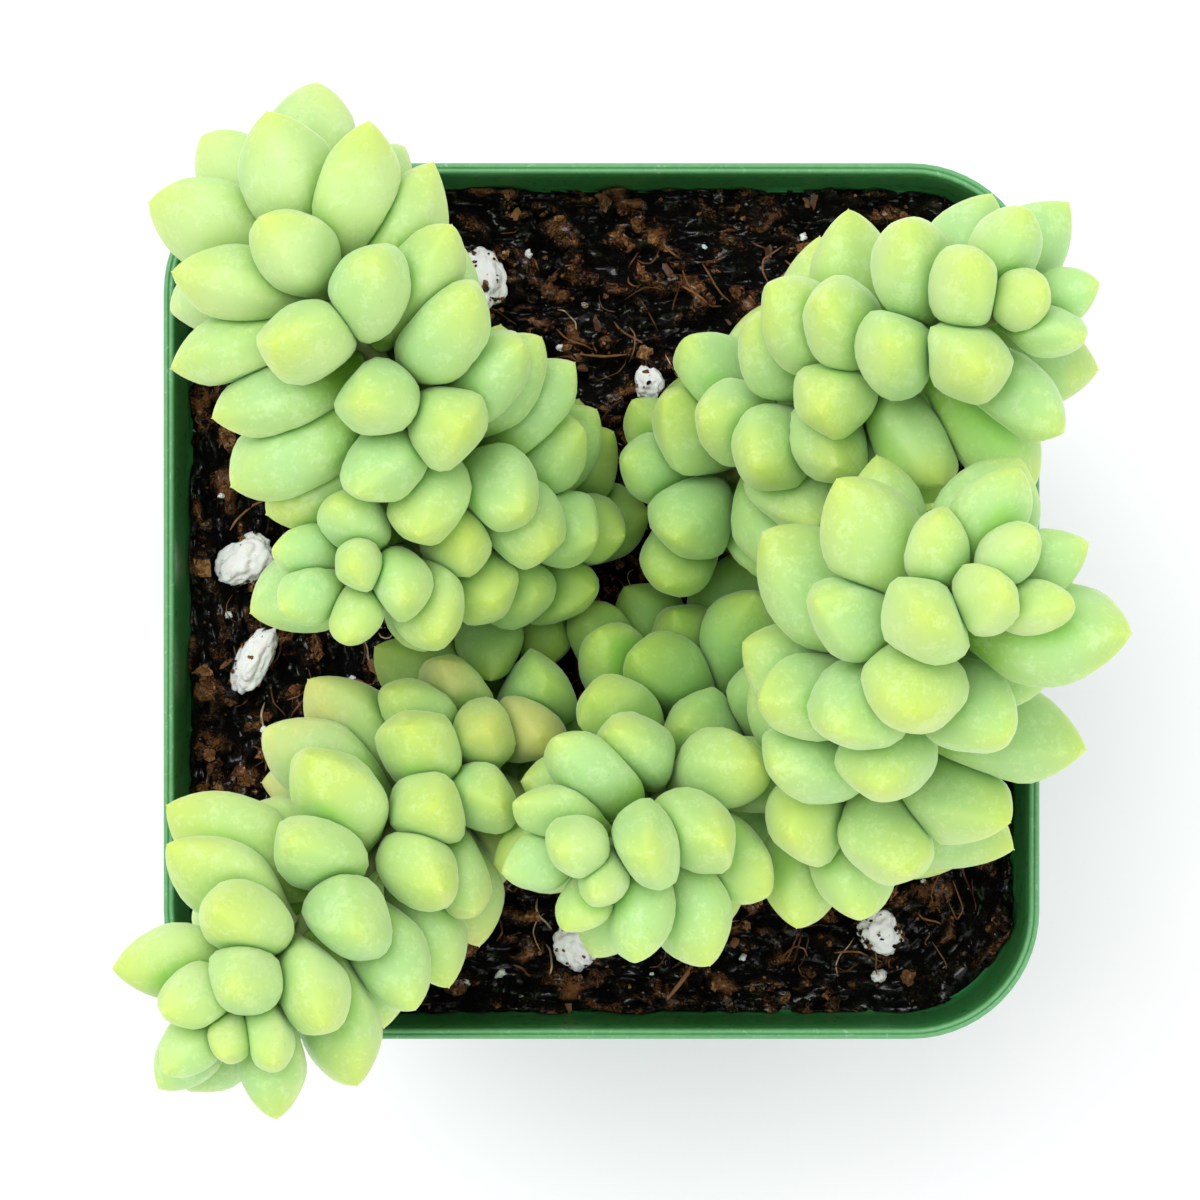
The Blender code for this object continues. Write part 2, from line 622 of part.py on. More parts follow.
def soil_height(x, y):
    lumps = noise.noise(Vector((x * 0.16, y * 0.16, 3.1))) + 0.5 * noise.noise(
        Vector((x * 0.35, y * 0.35, 9.4))
    )
    heap = max(0.0, min(1.0, (max(abs(x), abs(y)) - 27) / 8))
    return POT_HEIGHT - SOIL_DROP + 1.3 * heap + SOIL_LUMP * max(-1.0, min(1.0, 1.3 * lumps))


def perlite_shell(spot, wider):
    """One white granule, half sunk in the soil."""
    x, y, half, heading = spot
    shape = bmesh.new()
    bmesh.ops.create_icosphere(shape, subdivisions=2, radius=1.0)
    turn = math.radians(heading)
    points = []
    for vertex in shape.verts:
        v = vertex.co
        lump = 1 + 0.22 * noise.noise(v * 1.7 + Vector((x, y, 0)))
        a, b, c = (v[k] * (half[k] * lump + wider) for k in range(3))
        points.append((
            x + a * math.cos(turn) - b * math.sin(turn),
            y + a * math.sin(turn) + b * math.cos(turn),
            soil_height(x, y) + 0.15 * half[2] + c,
        ))
    faces = [tuple(v.index for v in face.verts) for face in shape.faces]
    shape.free()
    return points, faces


def build_filling(stems):
    floor = FLOOR + GAP
    rings = [
        rounded_square(
            body_half(floor) - WALL - 0.8 - GAP, body_corner(floor) - WALL - 1.0 - GAP, floor
        ),
        inner_square(FLOOR + 1.5, GAP),
        inner_square(LEDGE, GAP),
        inner_square(LEDGE, GAP),
        inner_square(LEDGE + 0.1, GAP),
    ]
    for ring in rings[-2:]:
        ring[:] = [(x, y, LEDGE + GAP + 0.05) for x, y, _ in ring]
    edge = POT_HEIGHT - SOIL_DROP
    wall = np.array(inner_square(edge, GAP))
    for share in (1.0, 0.86, 0.7, 0.53, 0.36, 0.18):
        ring = wall * (share, share, 1)
        ring[:, 2] = [soil_height(x, y) for x, y, _ in ring]
        rings.append(ring.tolist())
    soil = mesh_object("soil", *tube(rings))
    holes = []
    for name, spot in PERLITE.items():
        mesh_object(name, *perlite_shell(spot, 0.0))
        holes.append(perlite_shell(spot, GAP))
    for stem in stems.values():
        rings = stem_tube(stem, 0, 6, GAP)
        holes.append(tube([rings[0] + (0, 0, -BURIED - GAP), *rings]))
    boolean(soil, mesh_object("cut_sockets", *shells(holes)), "DIFFERENCE")
    return soil


def build_stems(stems, leaves):
    for name, stem in stems.items():
        end = runs_of(name, stem, leaves)[-1][1] - 1.5 * GAP
        rings = stem_tube(stem, 0, end, 0.0)
        mesh_object("stem_" + name, *tube([rings[0] + (0, 0, -BURIED), *rings]))


def leaf_shell(shape, leaves, i, low, high):
    """One leaf, its neck kept between its run's two stations."""
    rings = np.concatenate([shape[2], shape[0]])
    along, path, s = leaves["along"][i], leaves["path"][i], leaves["s"][i]
    inset = 0.1 + 0.02 * (i % 7)
    for k, slack in ((0, -inset), (1, 0.3 - inset)):
        at = s + (rings[k] - path) @ along
        kept = np.clip(at, low - slack, high + slack)
        rings[k] += (kept - at)[:, None] * along
    apex = rings[-1][0]
    points, faces = tube(rings[:-1])
    last = len(points) - len(rings[0])
    faces.pop(1)
    count = len(rings[0])
    faces += [(last + k, last + (k + 1) % count, len(points)) for k in range(count)]
    return [*points, apex], faces


def build_leaves(stems, leaves):
    """The runs of leaves. The exact solver leaves some of them open, where two necks nearly coincide."""
    cut = pressed_leaves(leaves, stems, CONTACT)
    for name, stem in stems.items():
        runs = runs_of(name, stem, leaves)
        for number, (group, low, high) in enumerate(runs, 1):
            crown = number == len(runs)
            wider = 0.8 if crown else SLEEVE - STEM_RADIUS
            title = f"leaves_{name}_{number}"
            node = mesh_object(title, *tube(stem_tube(stem, low, high, wider, 3.0)))
            for i in group:
                top = 999 if crown else high
                leaf = mesh_object(f"one_{title}_{i}", *leaf_shell(cut[i], leaves, i, low, top))
                boolean(node, leaf, "UNION", "MANIFOLD")
            if not crown:
                bore = tube(stem_tube(stem, low - 2, high + 2, GAP, 3.5))
                boolean(node, mesh_object("bore_" + title, *bore), "DIFFERENCE", "MANIFOLD")


MATERIALS = {
    "pot": ((0.025, 0.14, 0.045, 1), 0.35),
    "soil": ((0.03, 0.02, 0.014, 1), 0.85),
    "perlite": ((0.85, 0.83, 0.78, 1), 0.8),
    "stem": ((0.33, 0.5, 0.16, 1), 0.6),
    "leaves": ((0.5, 0.73, 0.3, 1), 0.5),
}


def paint():
    for made in bpy.context.scene.collection.objects:
        if made.hide_render:
            continue
        kind = made.name.split("_")[0]
        material = bpy.data.materials.new(made.name)
        material.use_nodes = True
        shader = material.node_tree.nodes["Principled BSDF"]
        color, rough = MATERIALS[kind]
        shader.inputs["Base Color"].default_value = color
        shader.inputs["Roughness"].default_value = rough
        made.data.materials.append(material)


def main():
    for old in list(bpy.data.objects):
        bpy.data.objects.remove(old)
    stems, leaves = grow()
    build_pot()
    build_filling(stems)
    build_stems(stems, leaves)
    build_leaves(stems, leaves)
    paint()


main()
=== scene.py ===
"""Looks of the potted burro's tail: plump bloomed leaves, damp peat with perlite, green nursery pot.

Lengths are in mm until a mesh is made. The leaves grow by the same rules as the solid model's.
"""

import math

import bmesh
import bpy
import numpy as np
from mathutils import Euler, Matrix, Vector, noise
from numpy.linalg import norm


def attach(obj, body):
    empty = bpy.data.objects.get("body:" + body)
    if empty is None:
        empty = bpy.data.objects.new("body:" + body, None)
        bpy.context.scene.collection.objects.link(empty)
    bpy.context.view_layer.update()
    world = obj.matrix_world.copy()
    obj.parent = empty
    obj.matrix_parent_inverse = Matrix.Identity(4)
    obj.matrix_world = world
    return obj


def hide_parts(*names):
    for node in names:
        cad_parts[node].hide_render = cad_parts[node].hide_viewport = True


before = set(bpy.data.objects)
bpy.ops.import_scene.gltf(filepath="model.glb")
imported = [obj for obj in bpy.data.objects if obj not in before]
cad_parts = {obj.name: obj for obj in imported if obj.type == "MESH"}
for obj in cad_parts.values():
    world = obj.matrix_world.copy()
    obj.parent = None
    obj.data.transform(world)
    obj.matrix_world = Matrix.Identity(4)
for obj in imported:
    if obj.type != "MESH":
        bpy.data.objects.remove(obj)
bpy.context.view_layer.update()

MM = 0.001

# ---- pot ----
POT_HEIGHT = 70.0
RIM_HALF = 38.0
RIM_CORNER = 11.2
BODY_HALF = 36.9
BASE_HALF = 27.5
COLLAR_DROP = 10.9
WALL = 1.1
LEDGE = POT_HEIGHT - COLLAR_DROP + WALL
FLOOR = 1.8
DRAIN_HOLE = 4.6

# ---- filling: granules as x, y, half sizes and heading in degrees ----
GAP = 0.3
SOIL_DROP = 9.2
SOIL_LUMP = 1.1
PERLITE = {
    "perlite_left_rear": (-31.6, 3.6, (2.8, 1.9, 1.6), 38),
    "perlite_left_front": (-30.8, -5.2, (1.5, 3.1, 1.4), -28),
    "perlite_rear": (-10.5, 28.6, (1.9, 2.6, 1.5), 15),
    "perlite_middle_rear": (4.2, 19.4, (1.3, 1.5, 1.2), 0),
    "perlite_front": (-2.4, -30.6, (1.7, 2.1, 1.4), 25),
    "perlite_front_right": (24.8, -29.4, (2.0, 1.8, 1.3), -20),
}

# ---- stems: points (x, y, height above the rim) of each one's route ----
STEM_RADIUS = 1.3
STEM_TIP_RADIUS = 0.75
BURIED = 7.0
CROWN = 2.6
ROUTES = {
    "rear_left": [
        (-5.5, 4.5, -11), (-8.6, 7.2, 2), (-13.4, 13.4, 15), (-18.8, 20.4, 22),
        (-23.3, 27.3, 22), (-26, 33.3, 15),
    ],
    "mid_left": [(-7.6, 0, -11), (-9.4, 1.6, -2), (-13.7, 4.3, 8), (-18, 3.6, 14), (-20.5, 2.4, 19)],
    "front_left": [
        (-5.5, -7.5, -11), (-8.8, -10.8, 0), (-14.6, -16.9, 7), (-21, -23.3, 13),
        (-27.3, -29.5, 18), (-30.9, -34.8, 21),
    ],
    "front": [(1.8, -8, -11), (4.2, -10.8, 0), (5.4, -15.2, 8), (3.2, -19, 14), (-1, -20.6, 19)],
    "right": [
        (7.5, -4.5, -11), (10.7, -10.4, -2), (16.5, -15.7, 5), (21.8, -14.6, 12),
        (23.6, -8.9, 19), (24.4, -4.3, 26), (26.6, -0.9, 32), (30.2, 0.9, 36),
    ],
    "rear_right": [
        (5, 4.5, -11), (9, 9.2, 0), (14.6, 13.6, 9), (21.1, 18.5, 20), (27.5, 21.3, 27),
        (32.8, 23.5, 32),
    ],
}
LEAF_SIZE = {
    "rear_left": 1.0, "mid_left": 0.95, "front_left": 1.0, "front": 1.0, "right": 1.1,
    "rear_right": 1.02,
}
RUNS = {"rear_left": 9, "mid_left": 5, "front_left": 9, "front": 5, "right": 9, "rear_right": 9}

# ---- leaves ----
LEAF_LENGTH = 12.2
LEAF_WIDTH = 7.1
LEAF_THICK = 5.9
EYE = 350.0
# Where chosen leaves' points lie, in mm on the rim's plane, as sighted from EYE above its middle.
POINTS = {
    "rear_left": [
        (-24.5, 44.5), (-28.5, 42), (-34.5, 40), (-33.5, 39), (-39, 34), (-29, 33), (-23, 41.5),
        (-19.5, 41), (-14.5, 37.5), (-19.5, 29.5), (-37, 27), (-37, 25), (-28, 22), (-13, 32),
        (-11.5, 27), (-12.5, 26), (-37, 20.5), (-20.5, 17), (-8.5, 23.5), (-7, 21.5), (-33, 15),
        (-11.5, 15), (-32, 10.5), (-28.5, 7.5), (-5, 22.5), (-2.5, 20.5), (-1.5, 14.5),
        (-0.5, 5.5),
    ],
    "mid_left": [
        (-21.5, 3), (-24, 1.5), (-28.5, 4.5), (-28, -0.5), (-22, -3.5), (-16.5, 0), (-14, -3),
        (-16, -4), (-19, 7), (-11.5, 5.5), (-9, -0.5), (-5, 0.5), (-1, 0.5), (-9.5, -7),
    ],
    "front_left": [
        (-25.5, -7.5), (-17, -7.5), (-13.5, -5), (-17.5, -4.5), (-28.5, -10.5), (-16, -10.5),
        (-9.5, -10.5), (-25, -13.5), (-29, -15), (-14, -18), (-9, -17), (-37, -17.5),
        (-37, -21.5), (-22.5, -19), (-13.5, -24.5), (-10.5, -26.5), (-10.5, -29.5), (-16, -35),
        (-13, -33), (-33.5, -26), (-21, -28.5), (-42, -31.5), (-32.5, -34), (-24, -36.5),
        (-37, -35.5), (-29.5, -40), (-28, -44.5), (-21, -41.5), (-18.5, -36.5), (-37.5, -40.5),
        (-35.5, -42), (-33.5, -37), (-32.5, -39), (-5, -10.5), (-5.5, -7.5),
    ],
    "front": [
        (0.5, -2.5), (-1, -8), (1, -11), (-7, -15.5), (-3.5, -22), (4.5, -22), (-8.5, -23.5),
        (-1, -25.5), (-2.5, -28.5), (-0.5, -30.5), (3, -31), (10, -31), (14, -25.5), (10.5, -21),
        (-3.5, -11.5), (-9, -22.5),
    ],
    "right": [
        (14, 5.5), (11, 4), (11.5, 1), (6.5, -10.5), (15, -14.5), (24, -16.5), (35, -12),
        (41.5, -13), (45.5, -3), (40.5, -3.5), (42, 5), (35, 1), (37.5, 1), (35, 6), (35.5, 11),
        (37, 6), (29.5, 7.5), (23.5, 12), (20, 10.5), (18.5, 0), (28, -1.5), (35, -19.5),
        (31, -22), (26.5, -23.5), (22, -27.5), (19, -25), (17, -28), (6, 0), (3, -3), (4, 1),
    ],
    "rear_right": [
        (6.5, 22), (5.5, 17.5), (9, 15.5), (2, 12), (2.5, 16.5), (13, 11), (5.5, 5.5), (18, 6.5),
        (17, 2.5), (5.5, 1.5), (15, 27), (13, 24), (16.5, 20), (24.5, 22), (32.5, 20.5),
        (21, 33.5), (26, 32.5), (36, 33.5), (33.5, 35), (32.5, 29), (38, 27), (37, 25),
        (43, 27.5), (41.5, 23), (42.5, 19.5), (39.5, 14), (37.5, 10.5), (29, 10), (20, 11.5),
        (18.5, 26),
    ],
}

# Places on that plane that no other leaf's point may cover, and how far they reach.
KEEP_CLEAR = (
    (-31, 4), (45, 21), (-41, -38.5), (-34, -44.5), (-23, -7.5), (-39.5, -27), (12, 28), (7, 24.5),
    (26, 36), (23.5, -29.5), (32.5, -25.5), (-7, -29), (44, 31), (45.5, 26), (-27.5, -6.5),
    (1, 20),
)
CLEAR_REACH = 4.0

# How wide a leaf is: share of the length, share of the half width.
LEAF_RINGS = ((0.0, 0.32), (0.22, 0.58), (0.56, 1.06), (0.87, 0.74))
ROOT = 1.1
SLEEVE = 2.2
# How far apart two leaves' bases can be and the leaves still touch.
NEARBY = 26
# The share of a leaf's length at which its point is sighted.
POINT_AT = 0.97


def unit(v):
    return v / norm(v, axis=-1, keepdims=True)


def spokes(turns, side, other):
    """Directions at angles round an axis, from its two side directions."""
    return np.cos(turns)[:, None] * side + np.sin(turns)[:, None] * other


class Stem:
    """A smooth curve through the route's points, with a frame that doesn't twist along it."""

    def __init__(self, route, scale):
        points = np.array(route, float) + (0, 0, POT_HEIGHT)
        points = np.vstack([2 * points[0] - points[1], points, 2 * points[-1] - points[-2]])
        path = [points[1]]
        for a, b, c, d in zip(points, points[1:], points[2:], points[3:]):
            for t in np.linspace(0, 1, 21)[1:]:
                path.append(
                    0.5 * (2 * b + (c - a) * t + (2 * a - 5 * b + 4 * c - d) * t * t
                           + (3 * b - a - 3 * c + d) * t ** 3)
                )
        path = np.array(path)
        along = np.concatenate([[0], np.cumsum(norm(np.diff(path, axis=0), axis=1))])
        self.length = along[-1]
        self.scale = scale
        self.s = np.linspace(0, self.length, int(self.length * 2) + 1)
        self.p = np.stack([np.interp(self.s, along, path[:, k]) for k in range(3)], 1)
        self.t = unit(np.gradient(self.p, axis=0))
        self.n = np.zeros_like(self.t)
        side = np.array([1.0, 0, 0])
        for i, t in enumerate(self.t):
            side = unit(side - t * (side @ t))
            self.n[i] = side
        self.b = np.cross(self.t, self.n)
        self.foot = self.s[np.argmax(self.p[:, 2] > POT_HEIGHT - SOIL_DROP + SOIL_LUMP + 2)]

    def at(self, s):
        """Point, direction and two side directions at stations s."""
        return [
            np.stack([np.interp(s, self.s, table[:, k]) for k in range(3)], -1)
            for table in (self.p, self.t, self.n, self.b)
        ]


def leaf_scale(from_tip):
    x = np.clip(from_tip / 7.0, 0, 1)
    return 0.6 + 0.4 * (x * x * (3 - 2 * x)) ** 0.8


def leaf_splay(from_tip):
    return np.radians(np.interp(from_tip, [0, 2, 5, 9, 14, 30], [10, 30, 46, 57, 64, 70]))


def choices(stem, step, turn, leans, reaches):
    """Every place and direction that a leaf could take on this stem."""
    s = np.arange(stem.foot + 1.3, stem.length + 0.01, step)
    s, turns, lean, reach = [
        grid.ravel()
        for grid in np.meshgrid(
            s, np.radians(np.arange(0, 360, turn)), np.radians(leans), reaches, indexing="ij"
        )
    ]
    point, along, side, other = stem.at(s)
    out = spokes(turns, side, other)
    from_tip = stem.length - s
    splay = leaf_splay(from_tip) + lean
    size = leaf_scale(from_tip) * stem.scale * reach
    return {
        "s": s, "lean": lean, "reach": reach, "size": size,
        "base": point + ROOT * out,
        "d": np.cos(splay)[:, None] * along + np.sin(splay)[:, None] * out,
    }


def spread(one, others, share):
    """How much the plump part of a leaf presses into others, each as a share of the room it needs."""
    t = np.array([0.35, 0.6, 0.85]) * LEAF_LENGTH
    mine = one["base"] + np.outer(t, one["d"] * one["size"])
    theirs = (others["base"][:, None] + others["d"][:, None] * others["size"][:, None, None]
              * t[None, :, None])
    gap = norm(theirs[:, None] - mine[None, :, None], axis=-1).min(axis=(1, 2))
    need = share * LEAF_THICK * (others["size"] + one["size"]) / 2
    return np.clip(1 - gap / need, 0, 1)


def take(table, rows):
    return {key: values[rows] for key, values in table.items()}


def room_above_soil(table):
    """How far leaves keep above the soil and clear of the pot's rim, negative where they can't."""
    end = table["base"] + table["d"] * (table["size"] * LEAF_LENGTH)[:, None]
    over = np.abs(end[:, :2]).max(axis=1)
    floor = np.where(over > BODY_HALF - 4, POT_HEIGHT + 3.0, POT_HEIGHT - SOIL_DROP + 3.2)
    return end[:, 2] - floor


def sighted(table):
    """Where leaves' points are seen, on the rim's plane, and how high they are."""
    ends = table["base"] + table["d"] * (table["size"] * LEAF_LENGTH * POINT_AT)[:, None]
    return ends[:, :2] * (EYE / (EYE + POT_HEIGHT - ends[:, 2]))[:, None], ends[:, 2]


def aimed_leaves(name, stem, grown):
    """Leaves whose points sit on the chosen sight lines."""
    table = choices(stem, 0.8, 10, (-22, -11, 0, 11, 22), (0.92, 1.0, 1.08))
    table = take(table, room_above_soil(table) > -1)
    seen, height = sighted(table)
    for point in POINTS[name]:
        miss = norm(seen - point, axis=1)
        cost = miss ** 2 + 8 * table["lean"] ** 2 - 0.6 * table["d"][:, 2]
        cost = cost + 30 * (table["reach"] - 1) ** 2
        best = np.argsort(cost, kind="stable")[:220]
        short = take(table, best)
        crowd = np.zeros(len(best))
        for leaf in grown:
            if norm(leaf["base"] - short["base"][0]) < NEARBY:
                crowd += 8 * spread(leaf, short, 0.74) ** 2
        pick = best[np.argmin(cost[best] + crowd)]
        leaf = take(table, pick)
        sight = np.array(point) * (EYE - (height[pick] - POT_HEIGHT)) / EYE
        target = np.array([*sight, height[pick]])
        toward = target - leaf["base"]
        reach = norm(toward) / (POINT_AT * LEAF_LENGTH)
        leaf["d"] = toward / norm(toward)
        leaf["size"] = float(np.clip(reach, 0.9 * leaf["size"], 1.12 * leaf["size"]))
        leaf["stem"] = name
        leaf["weight"] = 0.2
        grown.append(leaf)


def fill_leaves(name, stem, grown):
    """Leaves wherever the stem still has room for one, from its foot to its tip."""
    table = choices(stem, 0.7, 15, (0,), (1.0,))
    table = take(table, room_above_soil(table) > 0)
    off = norm(sighted(table)[0][:, None] - np.array(KEEP_CLEAR), axis=2).min(axis=1)
    table = take(table, off > CLEAR_REACH)
    free = np.ones(len(table["s"]), bool)

    def occupy(leaf):
        near = np.flatnonzero(free & (norm(table["base"] - leaf["base"], axis=1) < NEARBY))
        tight = np.where(table["d"][near, 2] > 0.2, 0.72, 0.76)
        pressed = spread(leaf, take(table, near), tight) > 0
        free[near[pressed]] = False

    for leaf in grown:
        occupy(leaf)
    while free.any():
        pick = int(np.flatnonzero(free)[0])
        leaf = take(table, pick)
        leaf["stem"] = name
        leaf["weight"] = 1.0
        free[pick] = False
        grown.append(leaf)
        occupy(leaf)


def closest(base, reach, first, second, low, high):
    """Closest points of leaf pairs' axes, between two shares of the length, and their shares."""
    p, q = base[first] + low * reach[first], base[second] + low * reach[second]
    u, v = (high - low) * reach[first], (high - low) * reach[second]
    gap = p - q
    uu, vv, uv = (u * u).sum(1), (v * v).sum(1), (u * v).sum(1)
    ug, vg = (u * gap).sum(1), (v * gap).sum(1)
    i = np.clip((uv * vg - ug * vv) / np.maximum(uu * vv - uv * uv, 1e-6), 0, 1)
    j = np.clip((uv * i + vg) / vv, 0, 1)
    i = np.clip((uv * j - ug) / uu, 0, 1)
    a, b = p + u * i[:, None], q + v * j[:, None]
    return a, b, low + (high - low) * i, low + (high - low) * j, norm(b - a, axis=1)


def press_apart(leaves, stems, rounds=30):
    """Turns leaves about their bases until none is squeezed much."""
    base, d, size = leaves["base"], leaves["d"], leaves["size"]
    grown = d.copy()
    hold = np.where(leaves["weight"] < 0.5, 0.35, 0.08)[:, None] * (size * LEAF_LENGTH)[:, None]
    middle = base + d * (size * LEAF_LENGTH * 0.6)[:, None]
    far = norm(middle[:, None] - middle[None], axis=-1)
    first, second = np.nonzero(np.triu(far < 15, 1))
    paths = np.vstack([stem.p for stem in stems.values()])
    paths_name = np.concatenate([[name] * len(stem.p) for name, stem in stems.items()])
    foreign = leaves["stem"][:, None] != paths_name[None]
    room = 0.78 * LEAF_THICK * (size[first] + size[second]) / 2
    for _ in range(rounds):
        reach = d * (size * LEAF_LENGTH)[:, None]
        a, b, ta, tb, gap = closest(base, reach, first, second, 0.35, 0.95)
        push = (np.clip(room - gap, 0, 3) / np.maximum(gap, 0.3))[:, None] * (b - a) * 0.5
        turn = np.zeros_like(d)
        share_a = leaves["weight"][first] / (leaves["weight"][first] + leaves["weight"][second])
        np.add.at(turn, first, -push * (share_a / np.maximum(ta, 0.4))[:, None])
        np.add.at(turn, second, push * ((1 - share_a) / np.maximum(tb, 0.4))[:, None])
        for t in (0.5, 0.85):
            spot = base + reach * t
            away = spot[:, None] - paths[None]
            gap = norm(away, axis=-1) + 99 * ~foreign
            low = gap.argmin(axis=1)
            rows = np.arange(len(spot))
            lack = np.clip(STEM_RADIUS + LEAF_THICK * size / 2 - gap[rows, low], 0, 3)
            turn += unit(away[rows, low]) * lack[:, None]
        turn[:, 2] += np.clip(-room_above_soil({**leaves, "d": d}), 0, 3) * 0.5
        turn = 0.6 * turn + hold * (grown - d)
        d = unit(d + turn / (size * LEAF_LENGTH)[:, None])
    leaves["d"] = d
    return leaves


def grow():
    stems = {name: Stem(route, LEAF_SIZE[name]) for name, route in ROUTES.items()}
    grown = []
    for name, stem in stems.items():
        aimed_leaves(name, stem, grown)
    for name, stem in stems.items():
        fill_leaves(name, stem, grown)
    leaves = {key: np.array([leaf[key] for leaf in grown]) for key in grown[0]}
    leaves = press_apart(leaves, stems)
    blocked = {i for i, _, _, far in stem_planes(leaves, stems) if far < SLEEVE + 0.8}
    kept = [i for i in range(len(leaves["s"])) if i not in blocked]
    leaves = take(leaves, kept)
    along = np.zeros_like(leaves["d"])
    for name, stem in stems.items():
        mine = leaves["stem"] == name
        along[mine] = stem.at(leaves["s"][mine])[1]
    d = leaves["d"]
    leaves["u"] = unit(along - d * (along * d).sum(axis=1, keepdims=True))
    leaves["v"] = np.cross(d, leaves["u"])
    rise = (d * along).sum(axis=1)
    slope = rise / np.sqrt(np.maximum(1 - rise ** 2, 0.04))
    leaves["scar"] = leaves["s"] + (0.5 * (SLEEVE + STEM_RADIUS + GAP) - ROOT) * slope
    return stems, leaves


def runs_of(name, stem, leaves):
    """Runs of leaves that meet the stem's skin one after another, and the stations they lie between."""
    scar = leaves["scar"]
    mine = np.flatnonzero(leaves["stem"] == name)
    mine = mine[np.argsort(scar[mine], kind="stable")]
    top = stem.length - CROWN
    groups = np.array_split(mine[scar[mine] < top], RUNS[name] - 1)
    ends = [(scar[a[-1]] + scar[b[0]]) / 2 for a, b in zip(groups, groups[1:])]
    groups.append(mine[scar[mine] >= top])
    starts = [scar[mine[0]] - 1.2, *ends, top]
    return [
        (group, start + GAP / 2, end - GAP / 2)
        for group, start, end in zip(groups, starts, [*ends, top, stem.length + GAP / 2])
    ]


def contact_planes(leaves):
    """Planes between leaves that touch: leaf, the plane's normal and its distance, for each side."""
    base, size = leaves["base"], leaves["size"]
    reach = leaves["d"] * (size * LEAF_LENGTH)[:, None]
    middle = base + reach * 0.6
    far = norm(middle[:, None] - middle[None], axis=-1)
    first, second = np.nonzero(np.triu(far < 16, 1))
    table = np.array(LEAF_RINGS)
    plump = np.zeros(len(first), bool)
    for low, high in ((0.22, 1.0), (0.42, 0.92)):
        a, b, ta, tb, gap = closest(base, reach, first, second, low, high)
        fat_a = size[first] * np.interp(ta, table[:, 0], table[:, 1])
        fat_b = size[second] * np.interp(tb, table[:, 0], table[:, 1])
        across = (b - a) / np.maximum(gap, 1e-6)[:, None]
        cut = a + (b - a) * (fat_a / (fat_a + fat_b))[:, None]
        at = (cut * across).sum(axis=1)
        if low < 0.3:
            normal, level, near = across, at, gap - LEAF_WIDTH * (fat_a + fat_b) / 2
            continue
        # The plane between the plump parts serves where it keeps both leaves' ends apart too.
        plump = np.ones(len(first), bool)
        for share in (0.22, 1.0):
            plump &= ((base[first] + share * reach[first]) * across).sum(1) < at - 0.3
            plump &= ((base[second] + share * reach[second]) * across).sum(1) > at + 0.3
        normal[plump], level[plump] = across[plump], at[plump]
        near = np.minimum(near, gap - LEAF_WIDTH * (fat_a + fat_b) / 2)
    touch = near < 1
    return first[touch], second[touch], normal[touch], level[touch]


def stem_planes(leaves, stems):
    """For each leaf, the nearest point of another leaf's stem: the way to it and how far it is."""
    found = []
    for name, stem in stems.items():
        mine = np.flatnonzero(leaves["stem"] != name)
        reach = leaves["d"][mine] * (leaves["size"][mine] * LEAF_LENGTH)[:, None]
        t = np.linspace(0.25, 1.0, 7)
        spots = leaves["base"][mine][:, None] + reach[:, None] * t[:, None]
        far = norm(spots[:, :, None] - stem.p, axis=-1).reshape(len(mine), -1)
        low = far.argmin(axis=1)
        for i, row, k in zip(mine, range(len(mine)), low):
            spot = spots[row, k // len(stem.p)]
            toward = stem.p[k % len(stem.p)] - spot
            found.append((i, unit(toward), spot, far[row, k]))
    return [entry for entry in found if entry[3] < LEAF_WIDTH]


def body_half(z):
    """Half the width over the pot's wall at a height, below the collar."""
    return BASE_HALF + (BODY_HALF - BASE_HALF) * z / POT_HEIGHT


def body_corner(z):
    return 8.2 + 1.8 * z / POT_HEIGHT


def inner_half(z):
    """Half the width of the pot's inside at a height: the collar's inside is wider than the body's."""
    if z > LEDGE:
        return RIM_HALF - WALL - 0.03 * (POT_HEIGHT - z)
    return body_half(z) - WALL


def inner_corner(z):
    return (RIM_CORNER if z > LEDGE else body_corner(z)) - WALL


def soil_height(x, y):
    lumps = noise.noise(Vector((x * 0.16, y * 0.16, 3.1))) + 0.5 * noise.noise(
        Vector((x * 0.35, y * 0.35, 9.4))
    )
    heap = max(0.0, min(1.0, (max(abs(x), abs(y)) - 27) / 8))
    return POT_HEIGHT - SOIL_DROP + 1.3 * heap + SOIL_LUMP * max(-1.0, min(1.0, 1.3 * lumps))


# ---- how finishes are written ----
class Wire:
    """One output of a finish's node, with arithmetic on it."""

    def __init__(self, finish, socket):
        self.finish = finish
        self.socket = socket

    def math(self, operation, *others):
        return self.finish.add("ShaderNodeMath", {"operation": operation}, [self, *others])

    def __add__(self, other):
        return self.math("ADD", other)

    def __sub__(self, other):
        return self.math("SUBTRACT", other)

    def __rsub__(self, other):
        return self.finish.add("ShaderNodeMath", {"operation": "SUBTRACT"}, [other, self])

    def __mul__(self, other):
        return self.math("MULTIPLY", other)

    __radd__ = __add__
    __rmul__ = __mul__

    def between(self, low, high):
        """0 below LOW, 1 above HIGH, a smooth step in between."""
        settings = {"interpolation_type": "SMOOTHSTEP"}
        return self.finish.add("ShaderNodeMapRange", settings, {0: self, 1: low, 2: high})


